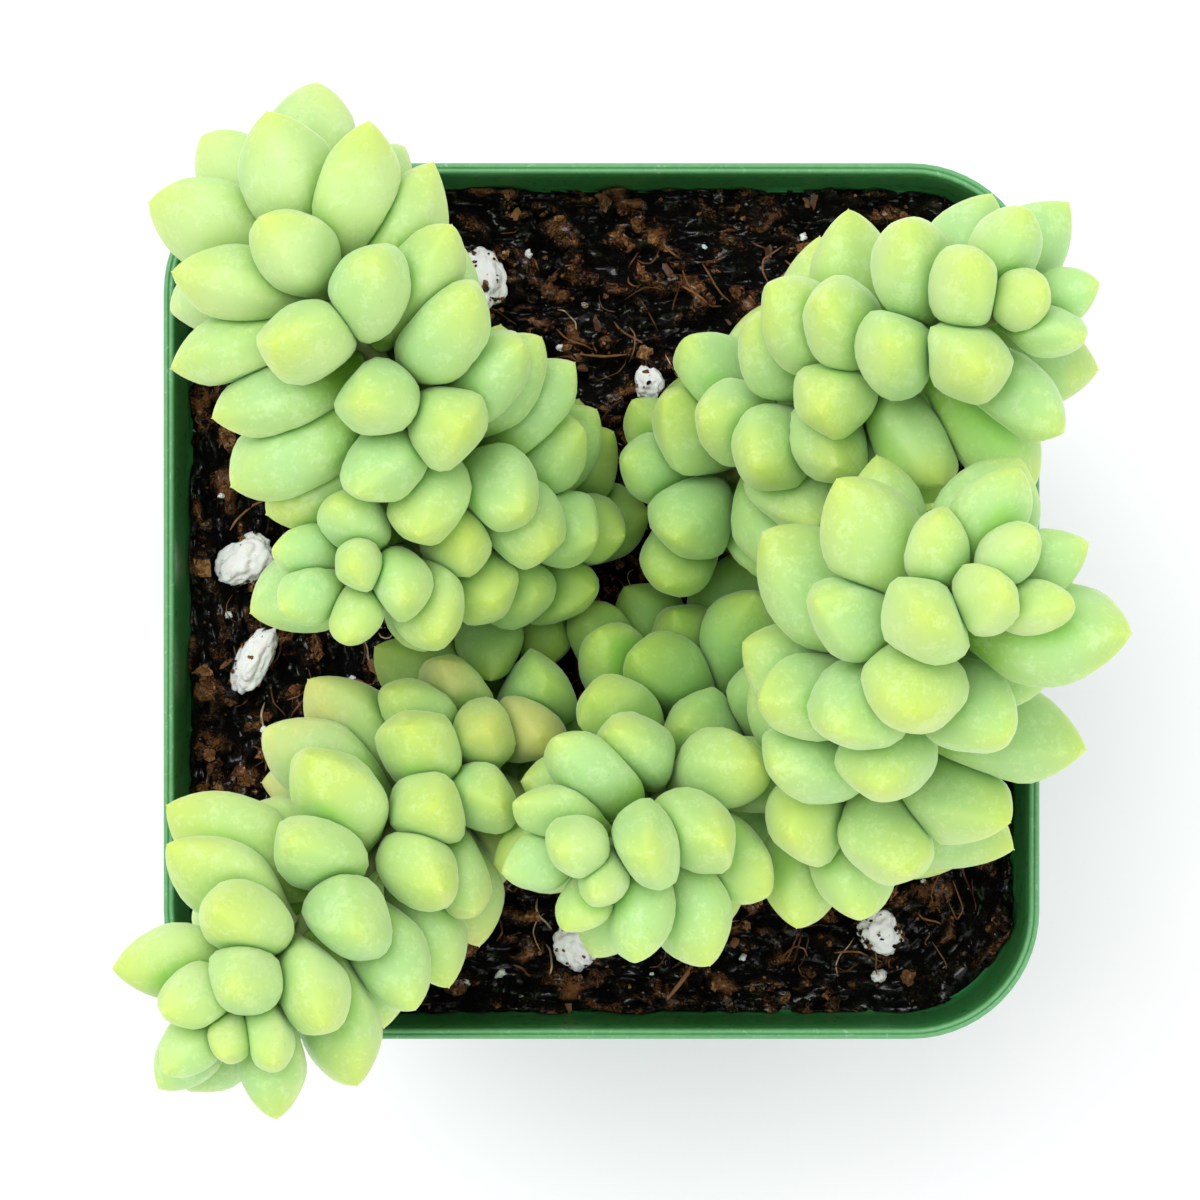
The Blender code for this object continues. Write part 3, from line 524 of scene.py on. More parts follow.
class Finish:
    """A material built from nodes round one Principled shader."""

    def __init__(self, name, **fixed):
        self.material = bpy.data.materials.new(name)
        self.material.use_nodes = True
        self.tree = self.material.node_tree
        self.shader = self.tree.nodes["Principled BSDF"]
        for socket, value in fixed.items():
            self.shader.inputs[socket.replace("_", " ")].default_value = value

    def add(self, kind, settings, inputs=(), output=0):
        node = self.tree.nodes.new(kind)
        for key, value in settings.items():
            setattr(node, key, value)
        pairs = inputs.items() if isinstance(inputs, dict) else enumerate(inputs)
        for key, value in pairs:
            if isinstance(value, Wire):
                self.tree.links.new(value.socket, node.inputs[key])
            else:
                node.inputs[key].default_value = value
        return Wire(self, node.outputs[output])

    def place(self):
        return self.add("ShaderNodeTexCoord", {}, output="Object")

    def noise(self, scale, detail=2.0, rough=0.5, warp=0.0):
        inputs = {"Vector": self.place(), "Scale": scale, "Detail": detail, "Roughness": rough,
                  "Distortion": warp}
        return self.add("ShaderNodeTexNoise", {}, inputs)

    def cells(self, scale):
        return self.add("ShaderNodeTexVoronoi", {}, {"Vector": self.place(), "Scale": scale})

    def drawn(self, name):
        """A value that the mesh carries."""
        settings = {"attribute_type": "GEOMETRY", "attribute_name": name}
        return self.add("ShaderNodeAttribute", settings, output="Fac")

    def mix(self, share, first, second, how="MIX"):
        """FIRST where SHARE is 0, SECOND where it is 1."""
        settings = {"data_type": "RGBA", "blend_type": how}
        ends = [(*end, 1) if isinstance(end, tuple) else end for end in (first, second)]
        return self.add("ShaderNodeMix", settings, {0: share, 6: ends[0], 7: ends[1]}, output=2)

    def bump(self, height, strength, depth):
        inputs = {"Strength": strength, "Distance": depth * MM, "Height": height}
        return self.add("ShaderNodeBump", {}, inputs)

    def coat(self, share, color, how="MIX"):
        """Lays COLOR over the finish's colour where SHARE is 1."""
        self.color = self.mix(share, self.color, color, how)

    def wear(self, **sockets):
        for socket, value in {"Base_Color": self.color, **sockets}.items():
            self.tree.links.new(value.socket, self.shader.inputs[socket.replace("_", " ")])
        return self.material


# ---- finishes ----
def leaf_finish():
    """Waxy blue-green skin: a darker green foot, partly the leaf's own colour and partly painted shade
    where leaves overlap, pale bloom over the body, yellower by the point, with painted light where
    leaves press together and painted shade on leaves low in the plant's middle.
    """
    f = Finish(
        "leaf", Subsurface_Weight=0.7, Subsurface_Radius=(0.95, 1.25, 0.35), Subsurface_Scale=0.0034,
        Specular_IOR_Level=0.24, Sheen_Weight=0.26, Sheen_Roughness=0.4,
        Sheen_Tint=(0.86, 1.0, 0.78, 1),
    )
    along, tone, young, aged = (f.drawn(n) for n in ("along", "tone", "young", "aged"))
    side, shaded = f.drawn("side"), f.drawn("shaded")
    patch = f.noise(230, 3, 0.55)
    blotch = f.noise(560, 5, 0.68)
    fine = f.noise(2300, 3, 0.7)
    # The foot's darker green is partly the leaf's own colour and partly painted shade where leaves
    # overlap.
    foot_green_and_shade, green = (0.2, 0.44, 0.035), (0.31, 0.54, 0.09)
    mint, pale = (0.42, 0.61, 0.23), (0.57, 0.71, 0.33)
    yellow, point = (0.52, 0.62, 0.12), (0.43, 0.54, 0.06)
    f.color = f.mix((along + (patch - 0.5) * 0.3).between(0.04, 0.36), foot_green_and_shade, green)
    f.coat((along + (blotch - 0.5) * 0.3 + tone * 0.1).between(0.22, 0.58), mint)
    f.coat((side * 0.5 + patch * 0.9 + tone * 0.4 - 0.3).between(0.3, 1.0) * 0.8, pale)
    f.coat((tone * 1.3 - 0.6 + patch * 0.4).between(0.3, 0.8) * 0.4, (0.5, 0.67, 0.22))
    cool = (0.7 - tone * 0.6 + (patch - 0.5) * 1.2 - side * 0.3).between(0.2, 0.9)
    f.coat(cool * along.between(0.2, 0.6) * 0.4, (0.36, 0.62, 0.31))
    spread = along + (patch - 0.5) * 0.42 + (tone - 0.5) * 0.14 + (blotch - 0.5) * 0.1
    glow = spread.between(0.68, 1.02)
    f.coat(glow * (1 - young * 0.4) * 0.72, yellow)
    tip = (along + (blotch - 0.5) * 0.22).between(0.9, 1.03)
    f.coat(tip * (0.15 + tone * 0.35), point)
    rubbed = (blotch * 0.6 + fine * 0.4).between(0.49, 0.6)
    f.coat(rubbed * 0.22, (0.70, 0.86, 0.52))
    bruised = (f.noise(900, 5, 0.75) * 0.7 + fine * 0.3).between(0.55, 0.64)
    f.coat(bruised * 0.24 * (0.4 + along), (0.36, 0.54, 0.09))
    # Painted light: a bright saturated green where a leaf is pressed flat against its neighbours,
    # standing for light shining through the crease.
    f.coat(f.drawn("pressed").between(0.02, 0.4) * 0.6, (0.38, 0.76, 0.1))
    blush = (aged * (0.3 + along * 0.8) * (0.5 + patch)).between(0.35, 0.9)
    f.coat(blush * 0.4, (0.76, 0.5, 0.26))
    # Painted shade: leaves low in the plant's middle are darkened.
    f.coat(shaded * 0.8, (0.4, 0.6, 0.28), "MULTIPLY")
    specks = (1 - f.cells(800).between(0.02, 0.06)) * f.noise(300).between(0.54, 0.62)
    f.coat(specks * 0.4, (0.16, 0.2, 0.06))
    rough = 0.52 + (fine - 0.5) * 0.25
    grain = f.bump(fine * 0.4 + blotch * 0.6 + f.noise(5200, 2) * 0.15, 0.3, 0.06)
    return f.wear(Roughness=rough, Normal=grain)


def stem_finish():
    f = Finish("stem", Subsurface_Weight=0.15, Subsurface_Scale=0.001)
    grain = f.noise(900, 4, 0.6)
    scars = f.cells(700)
    f.color = f.mix(grain.between(0.3, 0.75), (0.20, 0.33, 0.07), (0.42, 0.5, 0.2))
    f.coat((1 - scars.between(0.1, 0.5)) * 0.5, (0.34, 0.2, 0.08))
    return f.wear(Roughness=grain * 0.3 + 0.45, Normal=f.bump(scars, 0.4, 0.15))


def soil_finish():
    """Damp peat: nearly black, with brown fibrous parts, painted light that makes raised parts browner,
    painted shade that darkens its hollows, and wet faces that shine.
    """
    f = Finish("soil", Specular_IOR_Level=0.14, Coat_Roughness=0.12, Coat_IOR=1.45)
    lumps = f.noise(420, 5, 0.65, 0.4)
    grain = f.noise(2600, 5, 0.7)
    shreds = f.noise(1300, 5, 0.7, 2.5)
    shade = f.drawn("tone")
    f.color = f.mix(lumps.between(0.4, 0.72), (0.0012, 0.0008, 0.0006), (0.014, 0.007, 0.0036))
    high = f.drawn("high")
    # Brown fibres, partly real colour and partly painted light: they show more on raised parts.
    brown = (shreds * 0.85 + shade * 0.38 + high * 0.24 - 0.14).between(0.6, 0.76)
    f.coat(brown * 0.9, (0.24, 0.094, 0.032))
    tan = (grain * 0.5 + shreds * 0.6 + shade * 0.3).between(0.78, 0.88)
    f.coat(tan * 0.9, (0.54, 0.28, 0.12))
    # Painted shade: the soil is darkened to near black in its hollows.
    f.coat((1 - high).between(0.42, 0.85) * 0.94, (0.001, 0.0007, 0.0005))
    wet = (f.noise(900, 4, 0.65) * 0.6 + grain * 0.4).between(0.48, 0.56)
    rough = 0.9 - wet * 0.3
    grit = f.bump(grain * 0.8 + lumps * 0.7 + shreds * 0.7, 1.0, 0.4)
    return f.wear(Roughness=rough, Coat_Weight=wet * 0.95, Normal=grit)


def fibre_finish():
    f = Finish("fibre")
    shade = f.drawn("tone")
    grain = f.noise(3000, 3, 0.6)
    f.color = f.mix(shade, (0.07, 0.026, 0.009), (0.36, 0.155, 0.05))
    f.coat(shade.between(0.8, 0.95), (0.62, 0.46, 0.26))
    return f.wear(Roughness=0.42 + grain * 0.25, Normal=f.bump(grain, 0.5, 0.05))


def perlite_finish():
    """Popped white mineral foam, pitted, with peat caught in its pores."""
    f = Finish("perlite", Subsurface_Weight=0.25, Subsurface_Scale=0.0008)
    pits = f.cells(1500)
    grain = f.noise(2400, 4, 0.6)
    stain = f.noise(400, 4, 0.65, 0.5)
    dirt = f.drawn("dirt")
    f.color = f.mix(stain.between(0.52, 0.75) * 0.3, (1.0, 0.995, 0.98), (0.85, 0.76, 0.62))
    pores = (1 - pits.between(0.06, 0.2)) * grain.between(0.46, 0.6)
    f.coat(pores * 0.6, (0.22, 0.15, 0.09))
    rims = (stain * 0.8 + grain * 0.3 + dirt * 0.9).between(0.86, 1.0)
    f.coat(rims * 0.75, (0.36, 0.21, 0.1))
    soiled = (stain * 0.7 + grain * 0.45 + dirt * 0.9).between(0.99, 1.08)
    f.coat(soiled, (0.02, 0.012, 0.008))
    return f.wear(Roughness=0.7 + grain * 0.2, Normal=f.bump(pits + grain, 0.3, 0.12))


def pot_finish():
    """Moulded green plastic with a painted highlight along the lip's top, fine rubbed lines round the
    lip, painted light on the inner wall, and mud and dust inside.
    """
    f = Finish("pot", Specular_IOR_Level=0.5)
    smear = f.noise(90, 4, 0.6)
    fine = f.noise(1800, 3, 0.6)
    dust = f.noise(5200, 2, 0.5).between(0.7, 0.76) * f.noise(500, 3).between(0.45, 0.62)
    lip, inside = f.drawn("lip"), f.drawn("inside")
    f.color = f.mix(smear, (0.018, 0.118, 0.032), (0.026, 0.16, 0.046))
    mottle = f.noise(700, 5, 0.7, 1.0)
    # Painted highlight: the lip's top faces are a lighter green, varied in patches.
    f.coat(lip * (0.45 + mottle * 0.6), (0.15, 0.42, 0.17))
    # Painted light: the inner wall is a lighter green than the outside of the same plastic.
    f.coat(inside * 0.75, (0.045, 0.26, 0.07))
    muddy = (mottle * 0.8 + fine * 0.3).between(0.6, 0.72) * inside
    f.coat(muddy * 0.75, (0.03, 0.018, 0.01))
    f.coat(dust * (inside * 0.7 + 0.12), (0.55, 0.56, 0.5))
    scuff = f.noise(1100, 4, 0.65, 1.5).between(0.58, 0.68)
    f.coat(scuff * lip * 0.4, (0.4, 0.62, 0.42))
    rough = 0.3 + smear * 0.14 + dust * 0.3 + scuff * 0.12 + muddy * 0.2
    return f.wear(Roughness=rough, Normal=f.bump(fine * 0.5 + smear, 0.12, 0.08))


def floor_finish():
    f = Finish("floor", Roughness=0.85)
    grain = f.noise(40, 2)
    f.color = f.mix(grain, (0.93, 0.93, 0.93), (0.96, 0.96, 0.96))
    return f.wear()


# ---- making pieces ----
def shown(name, data):
    made = bpy.data.objects.new(name, data)
    bpy.context.scene.collection.objects.link(made)
    return made


def piece_from(name, points, faces, finish, smooth=True, **carried):
    """A visible piece from points in mm, with the values its finish reads at each point."""
    mesh = bpy.data.meshes.new(name)
    mesh.from_pydata((np.asarray(points, float) * MM).tolist(), [], faces)
    for key, values in carried.items():
        mesh.attributes.new(key, "FLOAT", "POINT").data.foreach_set("value", np.asarray(values, "f"))
    mesh.materials.append(finish)
    mesh.update()
    if smooth:
        mesh.shade_smooth()
    made = shown(name, mesh)
    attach(made, "root")
    return made


def skin(rows, count):
    """Faces of a closed skin: pole, ROWS rings of COUNT points, pole."""
    faces = []
    last = rows * count + 1
    for i in range(count):
        j = (i + 1) % count
        faces.append((0, 1 + j, 1 + i))
        faces.append((last, last - count + i, last - count + j))
        for k in range(rows - 1):
            a = 1 + k * count
            faces.append((a + i, a + j, a + count + j, a + count + i))
    return faces


def gathered(parts):
    """Several (points, faces, values) as one, each value named and repeated over its part's points."""
    points, faces, carried = [], [], {}
    start = 0
    for more, sides, values in parts:
        points.append(np.asarray(more, float))
        faces.extend([tuple(start + v for v in side) for side in sides])
        for key, value in values.items():
            carried.setdefault(key, []).append(np.broadcast_to(value, len(more)))
        start += len(more)
    return np.concatenate(points), faces, {k: np.concatenate(v) for k, v in carried.items()}


# ---- leaves ----
LEAF_ROWS = 20
LEAF_ROUND = 26
SQUEEZE = 8.5


def leaf_widths(t, blunt):
    """Half width along a leaf: a narrow foot, fullest at the middle, tapering to a rounded point."""
    rise = np.clip(t / 0.5, 0, 1)
    foot = 0.36 + 0.64 * (rise * rise * (3 - 2 * rise)) ** 0.8
    fall = np.clip((t - 0.5) / 0.5, 0, 1)
    return foot * np.clip(1 - fall ** (1.75 + 0.4 * blunt), 0, 1) ** (0.86 - 0.16 * blunt)


def leaf_skin(leaves, i, planes, dice):
    size = leaves["size"][i]
    length = size * LEAF_LENGTH
    t = 0.5 - 0.5 * np.cos(np.pi * np.linspace(0.03, 0.97, LEAF_ROWS))
    wide = leaf_widths(t, dice[0]) * size * (1.11 + 0.06 * dice[3])
    d, u, v = leaves["d"][i], leaves["u"][i], leaves["v"][i]
    turns = np.linspace(0, 2 * math.pi, LEAF_ROUND, endpoint=False)
    across, through = np.cos(turns), np.sin(turns)
    # Soft flats along the leaf, stronger towards its point.
    flats = dice[1] * 6.3 + np.arange(5) * 1.257 + 0.35 * np.sin(dice[2] * 9 + np.arange(5) * 2.4)
    facing = np.clip(np.cos(turns[:, None] - flats), 0, None)
    flat = (facing ** 14).sum(axis=1) ** (-1 / 14)
    flat = np.minimum(flat / flat.mean(), 1.15)
    keel = (0.2 + 0.8 * t)[:, None] * (flat - 1)[None] * (0.4 + 0.55 * dice[4])
    ring = across[:, None] * v * LEAF_WIDTH / 2 + through[:, None] * u * LEAF_THICK / 2
    curl = 0.75 * size * (t ** 2 - t * 0.55) * (0.5 + dice[1])
    centres = leaves["base"][i] + np.outer(t * length, d) + np.outer(curl, u)
    arms = (wide[:, None] * (1 + keel))[..., None] * ring[None]
    narrowed = np.ones(arms.shape[:2])
    if len(planes):
        normals = np.array([p[0] for p in planes])
        room = np.array([p[1] for p in planes]) - centres @ normals.T
        reach = np.clip(arms @ normals.T, 0, None) / np.maximum(room, 0.14)[:, None]
        narrowed = (1 + (reach ** SQUEEZE).sum(axis=-1)) ** (-1 / SQUEEZE)
        arms = arms * narrowed[..., None]
    points = (centres[:, None] + arms).reshape(-1, 3)
    offset = Vector((dice[2] * 40, dice[3] * 40, i))
    lumps = np.array([noise.noise(Vector(p) * 0.33 + offset) for p in points])
    points = points + arms.reshape(-1, 3) * (0.05 * lumps)[:, None]
    apex = centres[-1] + d * length * 0.012 + u * 0.05 * size
    foot = leaves["base"][i] - 0.2 * d
    along = np.concatenate([[0], t.repeat(LEAF_ROUND), [1.0]])
    side = np.concatenate([[0], np.tile(-np.sin(turns), LEAF_ROWS), [0]])
    # How far the skin is pressed flat against neighbours, where the leaf finish paints light.
    pressed = np.concatenate([[0], 1 - narrowed.reshape(-1), [0]])
    return np.vstack([foot, points, apex]), {"along": along, "side": side, "pressed": pressed}


def build_leaves(stems, leaves, finish):
    dice = np.random.default_rng(41).random((len(leaves["s"]), 8))
    planes = [[] for _ in leaves["s"]]
    for i, j, across, at in zip(*contact_planes(leaves)):
        planes[i].append((across, at + 0.02))
        planes[j].append((-across, -at + 0.02))
    top = POT_HEIGHT - SOIL_DROP + SOIL_LUMP
    for i, base in enumerate(leaves["base"]):
        planes[i].append((np.array([0, 0, -1.0]), -top))
        end = base + leaves["d"][i] * leaves["size"][i] * LEAF_LENGTH
        for side in ((1, 0), (-1, 0), (0, 1), (0, -1)):
            if end[:2] @ side > BODY_HALF - 4.5:
                lean = np.array([2.5 * side[0], 2.5 * side[1], -1.0])
                scale = norm(lean)
                level = 2.5 * (BODY_HALF - 2.3) - POT_HEIGHT
                planes[i].append((lean / scale, level / scale))
    for name, stem in stems.items():
        for number, (group, _, _) in enumerate(runs_of(name, stem, leaves), 1):
            parts = []
            for i in group:
                points, values = leaf_skin(leaves, i, planes[i], dice[i])
                old = AGED.get(name, 0.0) * (1 - number / RUNS[name]) * (0.2 + 1.3 * dice[i, 6] ** 2)
                young = np.clip(1.25 - leaves["size"][i] / LEAF_SIZE[name], 0, 0.75) / 0.75
                # Painted shade: how low and how near the plant's middle a leaf is, for darkening it.
                heart = leaves["base"][i] + leaves["d"][i] * 7
                low = np.clip((POT_HEIGHT + 15 - heart[2]) / 17, 0, 1)
                inner = np.clip(1.5 - norm(heart[:2]) / 20, 0, 1)
                values.update(tone=dice[i, 5], young=young, aged=old, shaded=low * inner)
                parts.append((points, skin(LEAF_ROWS, LEAF_ROUND), values))
            points, faces, carried = gathered(parts)
            made = piece_from(f"plump_{name}_{number}", points, faces, finish, **carried)
            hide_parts(f"leaves_{name}_{number}")


def build_stems(stems, finish):
    for name, stem in stems.items():
        s = np.linspace(0, stem.length - CROWN + 0.6, 60)
        point, _, side, other = stem.at(s)
        point[0] -= (0, 0, BURIED)
        radius = np.interp(s, [0, stem.length], [STEM_RADIUS, STEM_TIP_RADIUS])
        radius = radius * (1 + 0.05 * np.sin(s * 2.9))
        turns = np.linspace(0, 2 * math.pi, 16, endpoint=False)
        around = spokes(turns, side[:, None], other[:, None])
        rings = point[:, None] + radius[:, None, None] * around
        points = np.vstack([point[:1], rings.reshape(-1, 3), point[-1:]])
        made = piece_from("stalk_" + name, points, skin(60, 16), finish)
        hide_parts("stem_" + name)


# ---- soil ----
FULL_TURN = 6.28


def soil_relief(x, y):
    """The soil's fine surface over the solid's smooth one."""
    place = Vector((x, y, 0))
    bend = noise.noise(place * 0.5) * 0.8
    clods = noise.fractal(place * 0.33, 0.75, 2.1, 6)
    cells = noise.voronoi(place * 0.3 + Vector((bend, -bend, 0)))[0]
    crack = min(cells[1] - cells[0], 0.4) / 0.4
    small = noise.voronoi(place * 0.95 + Vector((bend, bend, 0)))[0]
    return soil_height(x, y) + clods + 2.3 * crack + 0.8 * min(small[1] - small[0], 0.5) - 1.9


def raised(x, y, z):
    """How far a point stands out of the soil's hollows, from 0 to 1; the soil's finish paints shade
    where it is low and light where it is high.
    """
    return min(max((z - soil_height(x, y)) / 2.4 + 0.6, 0), 1)


def chunk(place, half, heading, detail, seed, rough):
    """A lumpy grain with its middle at PLACE."""
    shape = bmesh.new()
    bmesh.ops.create_icosphere(shape, subdivisions=detail, radius=1.0)
    turn = Euler(heading).to_matrix()
    offset = Vector((seed * 7.7, seed * 3.1, seed))
    points = []
    for vertex in shape.verts:
        v = vertex.co
        lump = 1 + rough * noise.noise(v * 1.6 + offset) + rough * 0.5 * noise.noise(v * 4 + offset)
        points.append(Vector(place) + turn @ Vector([v[k] * half[k] * lump for k in range(3)]))
    faces = [tuple(v.index for v in face.verts) for face in shape.faces]
    shape.free()
    return points, faces


def tumbled(rng, place, half, detail, rough):
    """A lumpy grain turned and shaped at random."""
    return chunk(place, half, rng.uniform(0, FULL_TURN, 3), detail, rng.uniform(0, 50), rough)


def soil_spots(rng, count):
    """Random places on the soil, kept off the wall."""
    edge = inner_half(POT_HEIGHT - SOIL_DROP) - 0.6
    rounding = 6.4
    spots = []
    while len(spots) < count:
        spot = rng.uniform(-edge, edge, 2)
        if sum(max(abs(v) - edge + rounding, 0) ** 2 for v in spot) < rounding ** 2:
            spots.append(tuple(spot))
    return spots


def thread(route, radius, sides=5):
    """A thin round strand along a few points."""
    route = np.array(route, float)
    t = np.linspace(0, len(route) - 1, 4 * len(route))
    path = np.stack([np.interp(t, np.arange(len(route)), route[:, k]) for k in range(3)], 1)
    smooth = path.copy()
    smooth[1:-1] = (path[:-2] + 2 * path[1:-1] + path[2:]) / 4
    way = unit(np.gradient(smooth, axis=0))
    first = unit(np.cross(way, (0.31, 0.22, 0.93)))
    second = np.cross(way, first)
    turns = np.linspace(0, 2 * math.pi, sides, endpoint=False)
    thin = radius * np.interp(t, [0, 0.5, t[-1] - 0.5, t[-1]], [0.4, 1, 1, 0.3])
    rings = smooth[:, None] + thin[:, None, None] * spokes(turns, first[:, None], second[:, None])
    points = np.vstack([smooth[:1], rings.reshape(-1, 3), smooth[-1:]])
    return points, skin(len(smooth), sides)


def joined(name, parts, finish, smooth=False):
    """One loose piece of many parts."""
    points, faces, carried = gathered(parts)
    piece_from(name, points, faces, finish, smooth, **carried)


def build_bed(finish):
    edge = POT_HEIGHT - SOIL_DROP
    wall = np.array(smooth_square(inner_half(edge) - 0.1, inner_corner(edge) - 0.1, edge, 14, 60))
    rings = []
    for share in np.linspace(0.01, 1, 150):
        ring = wall * (share, share, 1)
        ring[:, 2] = [soil_relief(x, y) for x, y, _ in ring]
        rings.append(ring)
    for inset, level, z in (
        (0.1, edge, LEDGE + 0.15), (0.2, LEDGE, LEDGE + 0.1), (0.2, FLOOR + 1.6, FLOOR + 1.6),
        (0.7, FLOOR + GAP, FLOOR + GAP),
    ):
        half, corner = inner_half(level) - inset, inner_corner(level) - inset
        rings.append(np.array(smooth_square(half, corner, z, 14, 60)))
    points = np.vstack([(0, 0, soil_relief(0, 0)), *rings, (0, 0, FLOOR + GAP)])
    tone = np.array([0.5 + 0.5 * noise.noise(Vector(p) * 0.5) for p in points])
    # How far each point stands out of the hollows, for the soil finish's painted shade and light.
    high = np.array([raised(*p) for p in points])
    faces = [tuple(reversed(face)) for face in skin(len(rings), len(wall))]
    bed = piece_from("peat_bed", points, faces, finish, tone=tone, high=high)
    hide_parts("soil")


def build_crumbs(rng, finish):
    parts = []
    for x, y in soil_spots(rng, 4200):
        z = soil_relief(x, y)
        if z < soil_height(x, y) + rng.uniform(-0.7, 0.5):
            continue
        half = rng.uniform(0.2, 0.48) * (1 + 0.9 * rng.random() ** 6)
        halves = half * rng.uniform(0.55, 1.4, 3)
        place = (x, y, z + half * rng.uniform(-0.2, 0.9))
        shape = tumbled(rng, place, halves, 2, 1.05)
        parts.append((*shape, {"tone": rng.random(), "high": raised(*place)}))
    for x, y in soil_spots(rng, 3000):
        half = rng.uniform(0.09, 0.22)
        place = (x, y, soil_relief(x, y) + half * rng.uniform(0.3, 2.5))
        shape = tumbled(rng, place, half * rng.uniform(0.6, 1.4, 3), 1, 0.6)
        parts.append((*shape, {"tone": rng.random() ** 0.6, "high": raised(*place)}))
    joined("peat_crumbs", parts, finish)


def build_litter(rng, finish):
    parts = []
    for x, y in soil_spots(rng, 620):
        way, bend = rng.uniform(0, FULL_TURN), rng.uniform(-0.5, 0.5)
        step, lift = rng.uniform(0.3, 1.1), rng.uniform(0, 0.5)
        route = []
        for k in range(5):
            route.append((x, y, soil_relief(x, y) + 0.35 + lift * math.sin(k * 0.8)))
            x, y = x + step * math.cos(way), y + step * math.sin(way)
            way += bend + rng.uniform(-0.5, 0.5)
        if max(abs(v) for p in route for v in p[:2]) < 33.5:
            shape = thread(route, rng.uniform(0.04, 0.11))
            parts.append((*shape, {"tone": rng.random()}))
    for route, radius in TWIGS:
        route = [(x, y, soil_relief(x, y) + lift) for x, y, lift in route]
        parts.append((*thread(route, radius, 7), {"tone": 0.72}))
    for x, y in soil_spots(rng, 60):
        half = rng.uniform(0.3, 0.75)
        place = (x, y, soil_relief(x, y) + 0.35)
        heading = (rng.uniform(-0.6, 0.6), rng.uniform(-0.6, 0.6), rng.uniform(0, FULL_TURN))
        shape = chunk(place, (half, half * rng.uniform(0.3, 0.7), 0.14), heading, 2,
                      rng.uniform(0, 50), 0.7)
        parts.append((*shape, {"tone": rng.random() * 0.6}))
    joined("fibres_and_bark", parts, finish)


def build_grit(rng, white):
    parts = []
    for x, y, half in PERLITE_CRUMBS:
        place = (x, y, soil_relief(x, y) + half * 0.5)
        shape = tumbled(rng, place, half * rng.uniform(0.7, 1.3, 3), 3, 0.5)
        parts.append((*shape, {"dirt": 0.35}))
    joined("perlite_crumbs", parts, white, smooth=True)


def build_perlite(white, peat):
    rng = np.random.default_rng(19)
    stuck = []
    for number, (name, (x, y, half, heading)) in enumerate(PERLITE.items()):
        place = (x, y, soil_height(x, y) + 0.15 * half[2] + 0.1)
        turn = (0, 0, math.radians(heading))
        points, faces = chunk(place, half, turn, 5, 3.0 + number, 0.25)
        detailed = []
        for p in points:
            out = (p - Vector(place)).normalized()
            pit = noise.voronoi(p * 1.3)[0][0]
            detailed.append(p + out * (0.09 * min(pit, 0.6) - 0.04 + 0.04 * noise.noise(p * 3.5)))
        low = [(place[2] - p[2]) / half[2] for p in detailed]
        dirt = np.clip(np.array(low) * 0.35 + PERLITE_DIRT[name], 0, 1)
        made = piece_from("granule_" + name, detailed, faces, white, dirt=dirt)
        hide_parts(name)
        for k in rng.integers(0, len(detailed), 900):
            caught = noise.noise(detailed[k] * 0.8 + Vector((number, 0, 0))) > 0.1
            if low[k] < 0.9 and rng.random() < (0.04 + dirt[k] + max(low[k], 0) * 0.5) * caught:
                size = rng.uniform(0.05, 0.15) * (1 + 2 * rng.random() ** 4)
                shape = tumbled(rng, detailed[k], size * rng.uniform(0.6, 1.4, 3), 1, 0.7)
                stuck.append((*shape, {"tone": rng.random() ** 0.7, "high": 0.8}))
    joined("peat_on_perlite", stuck, peat)


# ---- pot ----
def smooth_square(half, corner, z, steps, straight):
    """Points round a square with rounded corners, with points along its straight sides too."""
    points = []
    for k in range(4):
        sx, sy = (1 if k in (0, 3) else -1), (1 if k in (0, 1) else -1)
        for i in range(steps + 1):
            angle = (k + i / steps) * math.pi / 2
            points.append((
                (half - corner) * sx + corner * math.cos(angle),
                (half - corner) * sy + corner * math.sin(angle), z,
            ))
        ax, ay = points[-1][:2]
        turn = (k + 1) * math.pi / 2
        span = 2 * (half - corner)
        for i in range(1, straight):
            share = span * i / straight
            points.append((ax - share * math.sin(turn), ay + share * math.cos(turn), z))
    return points


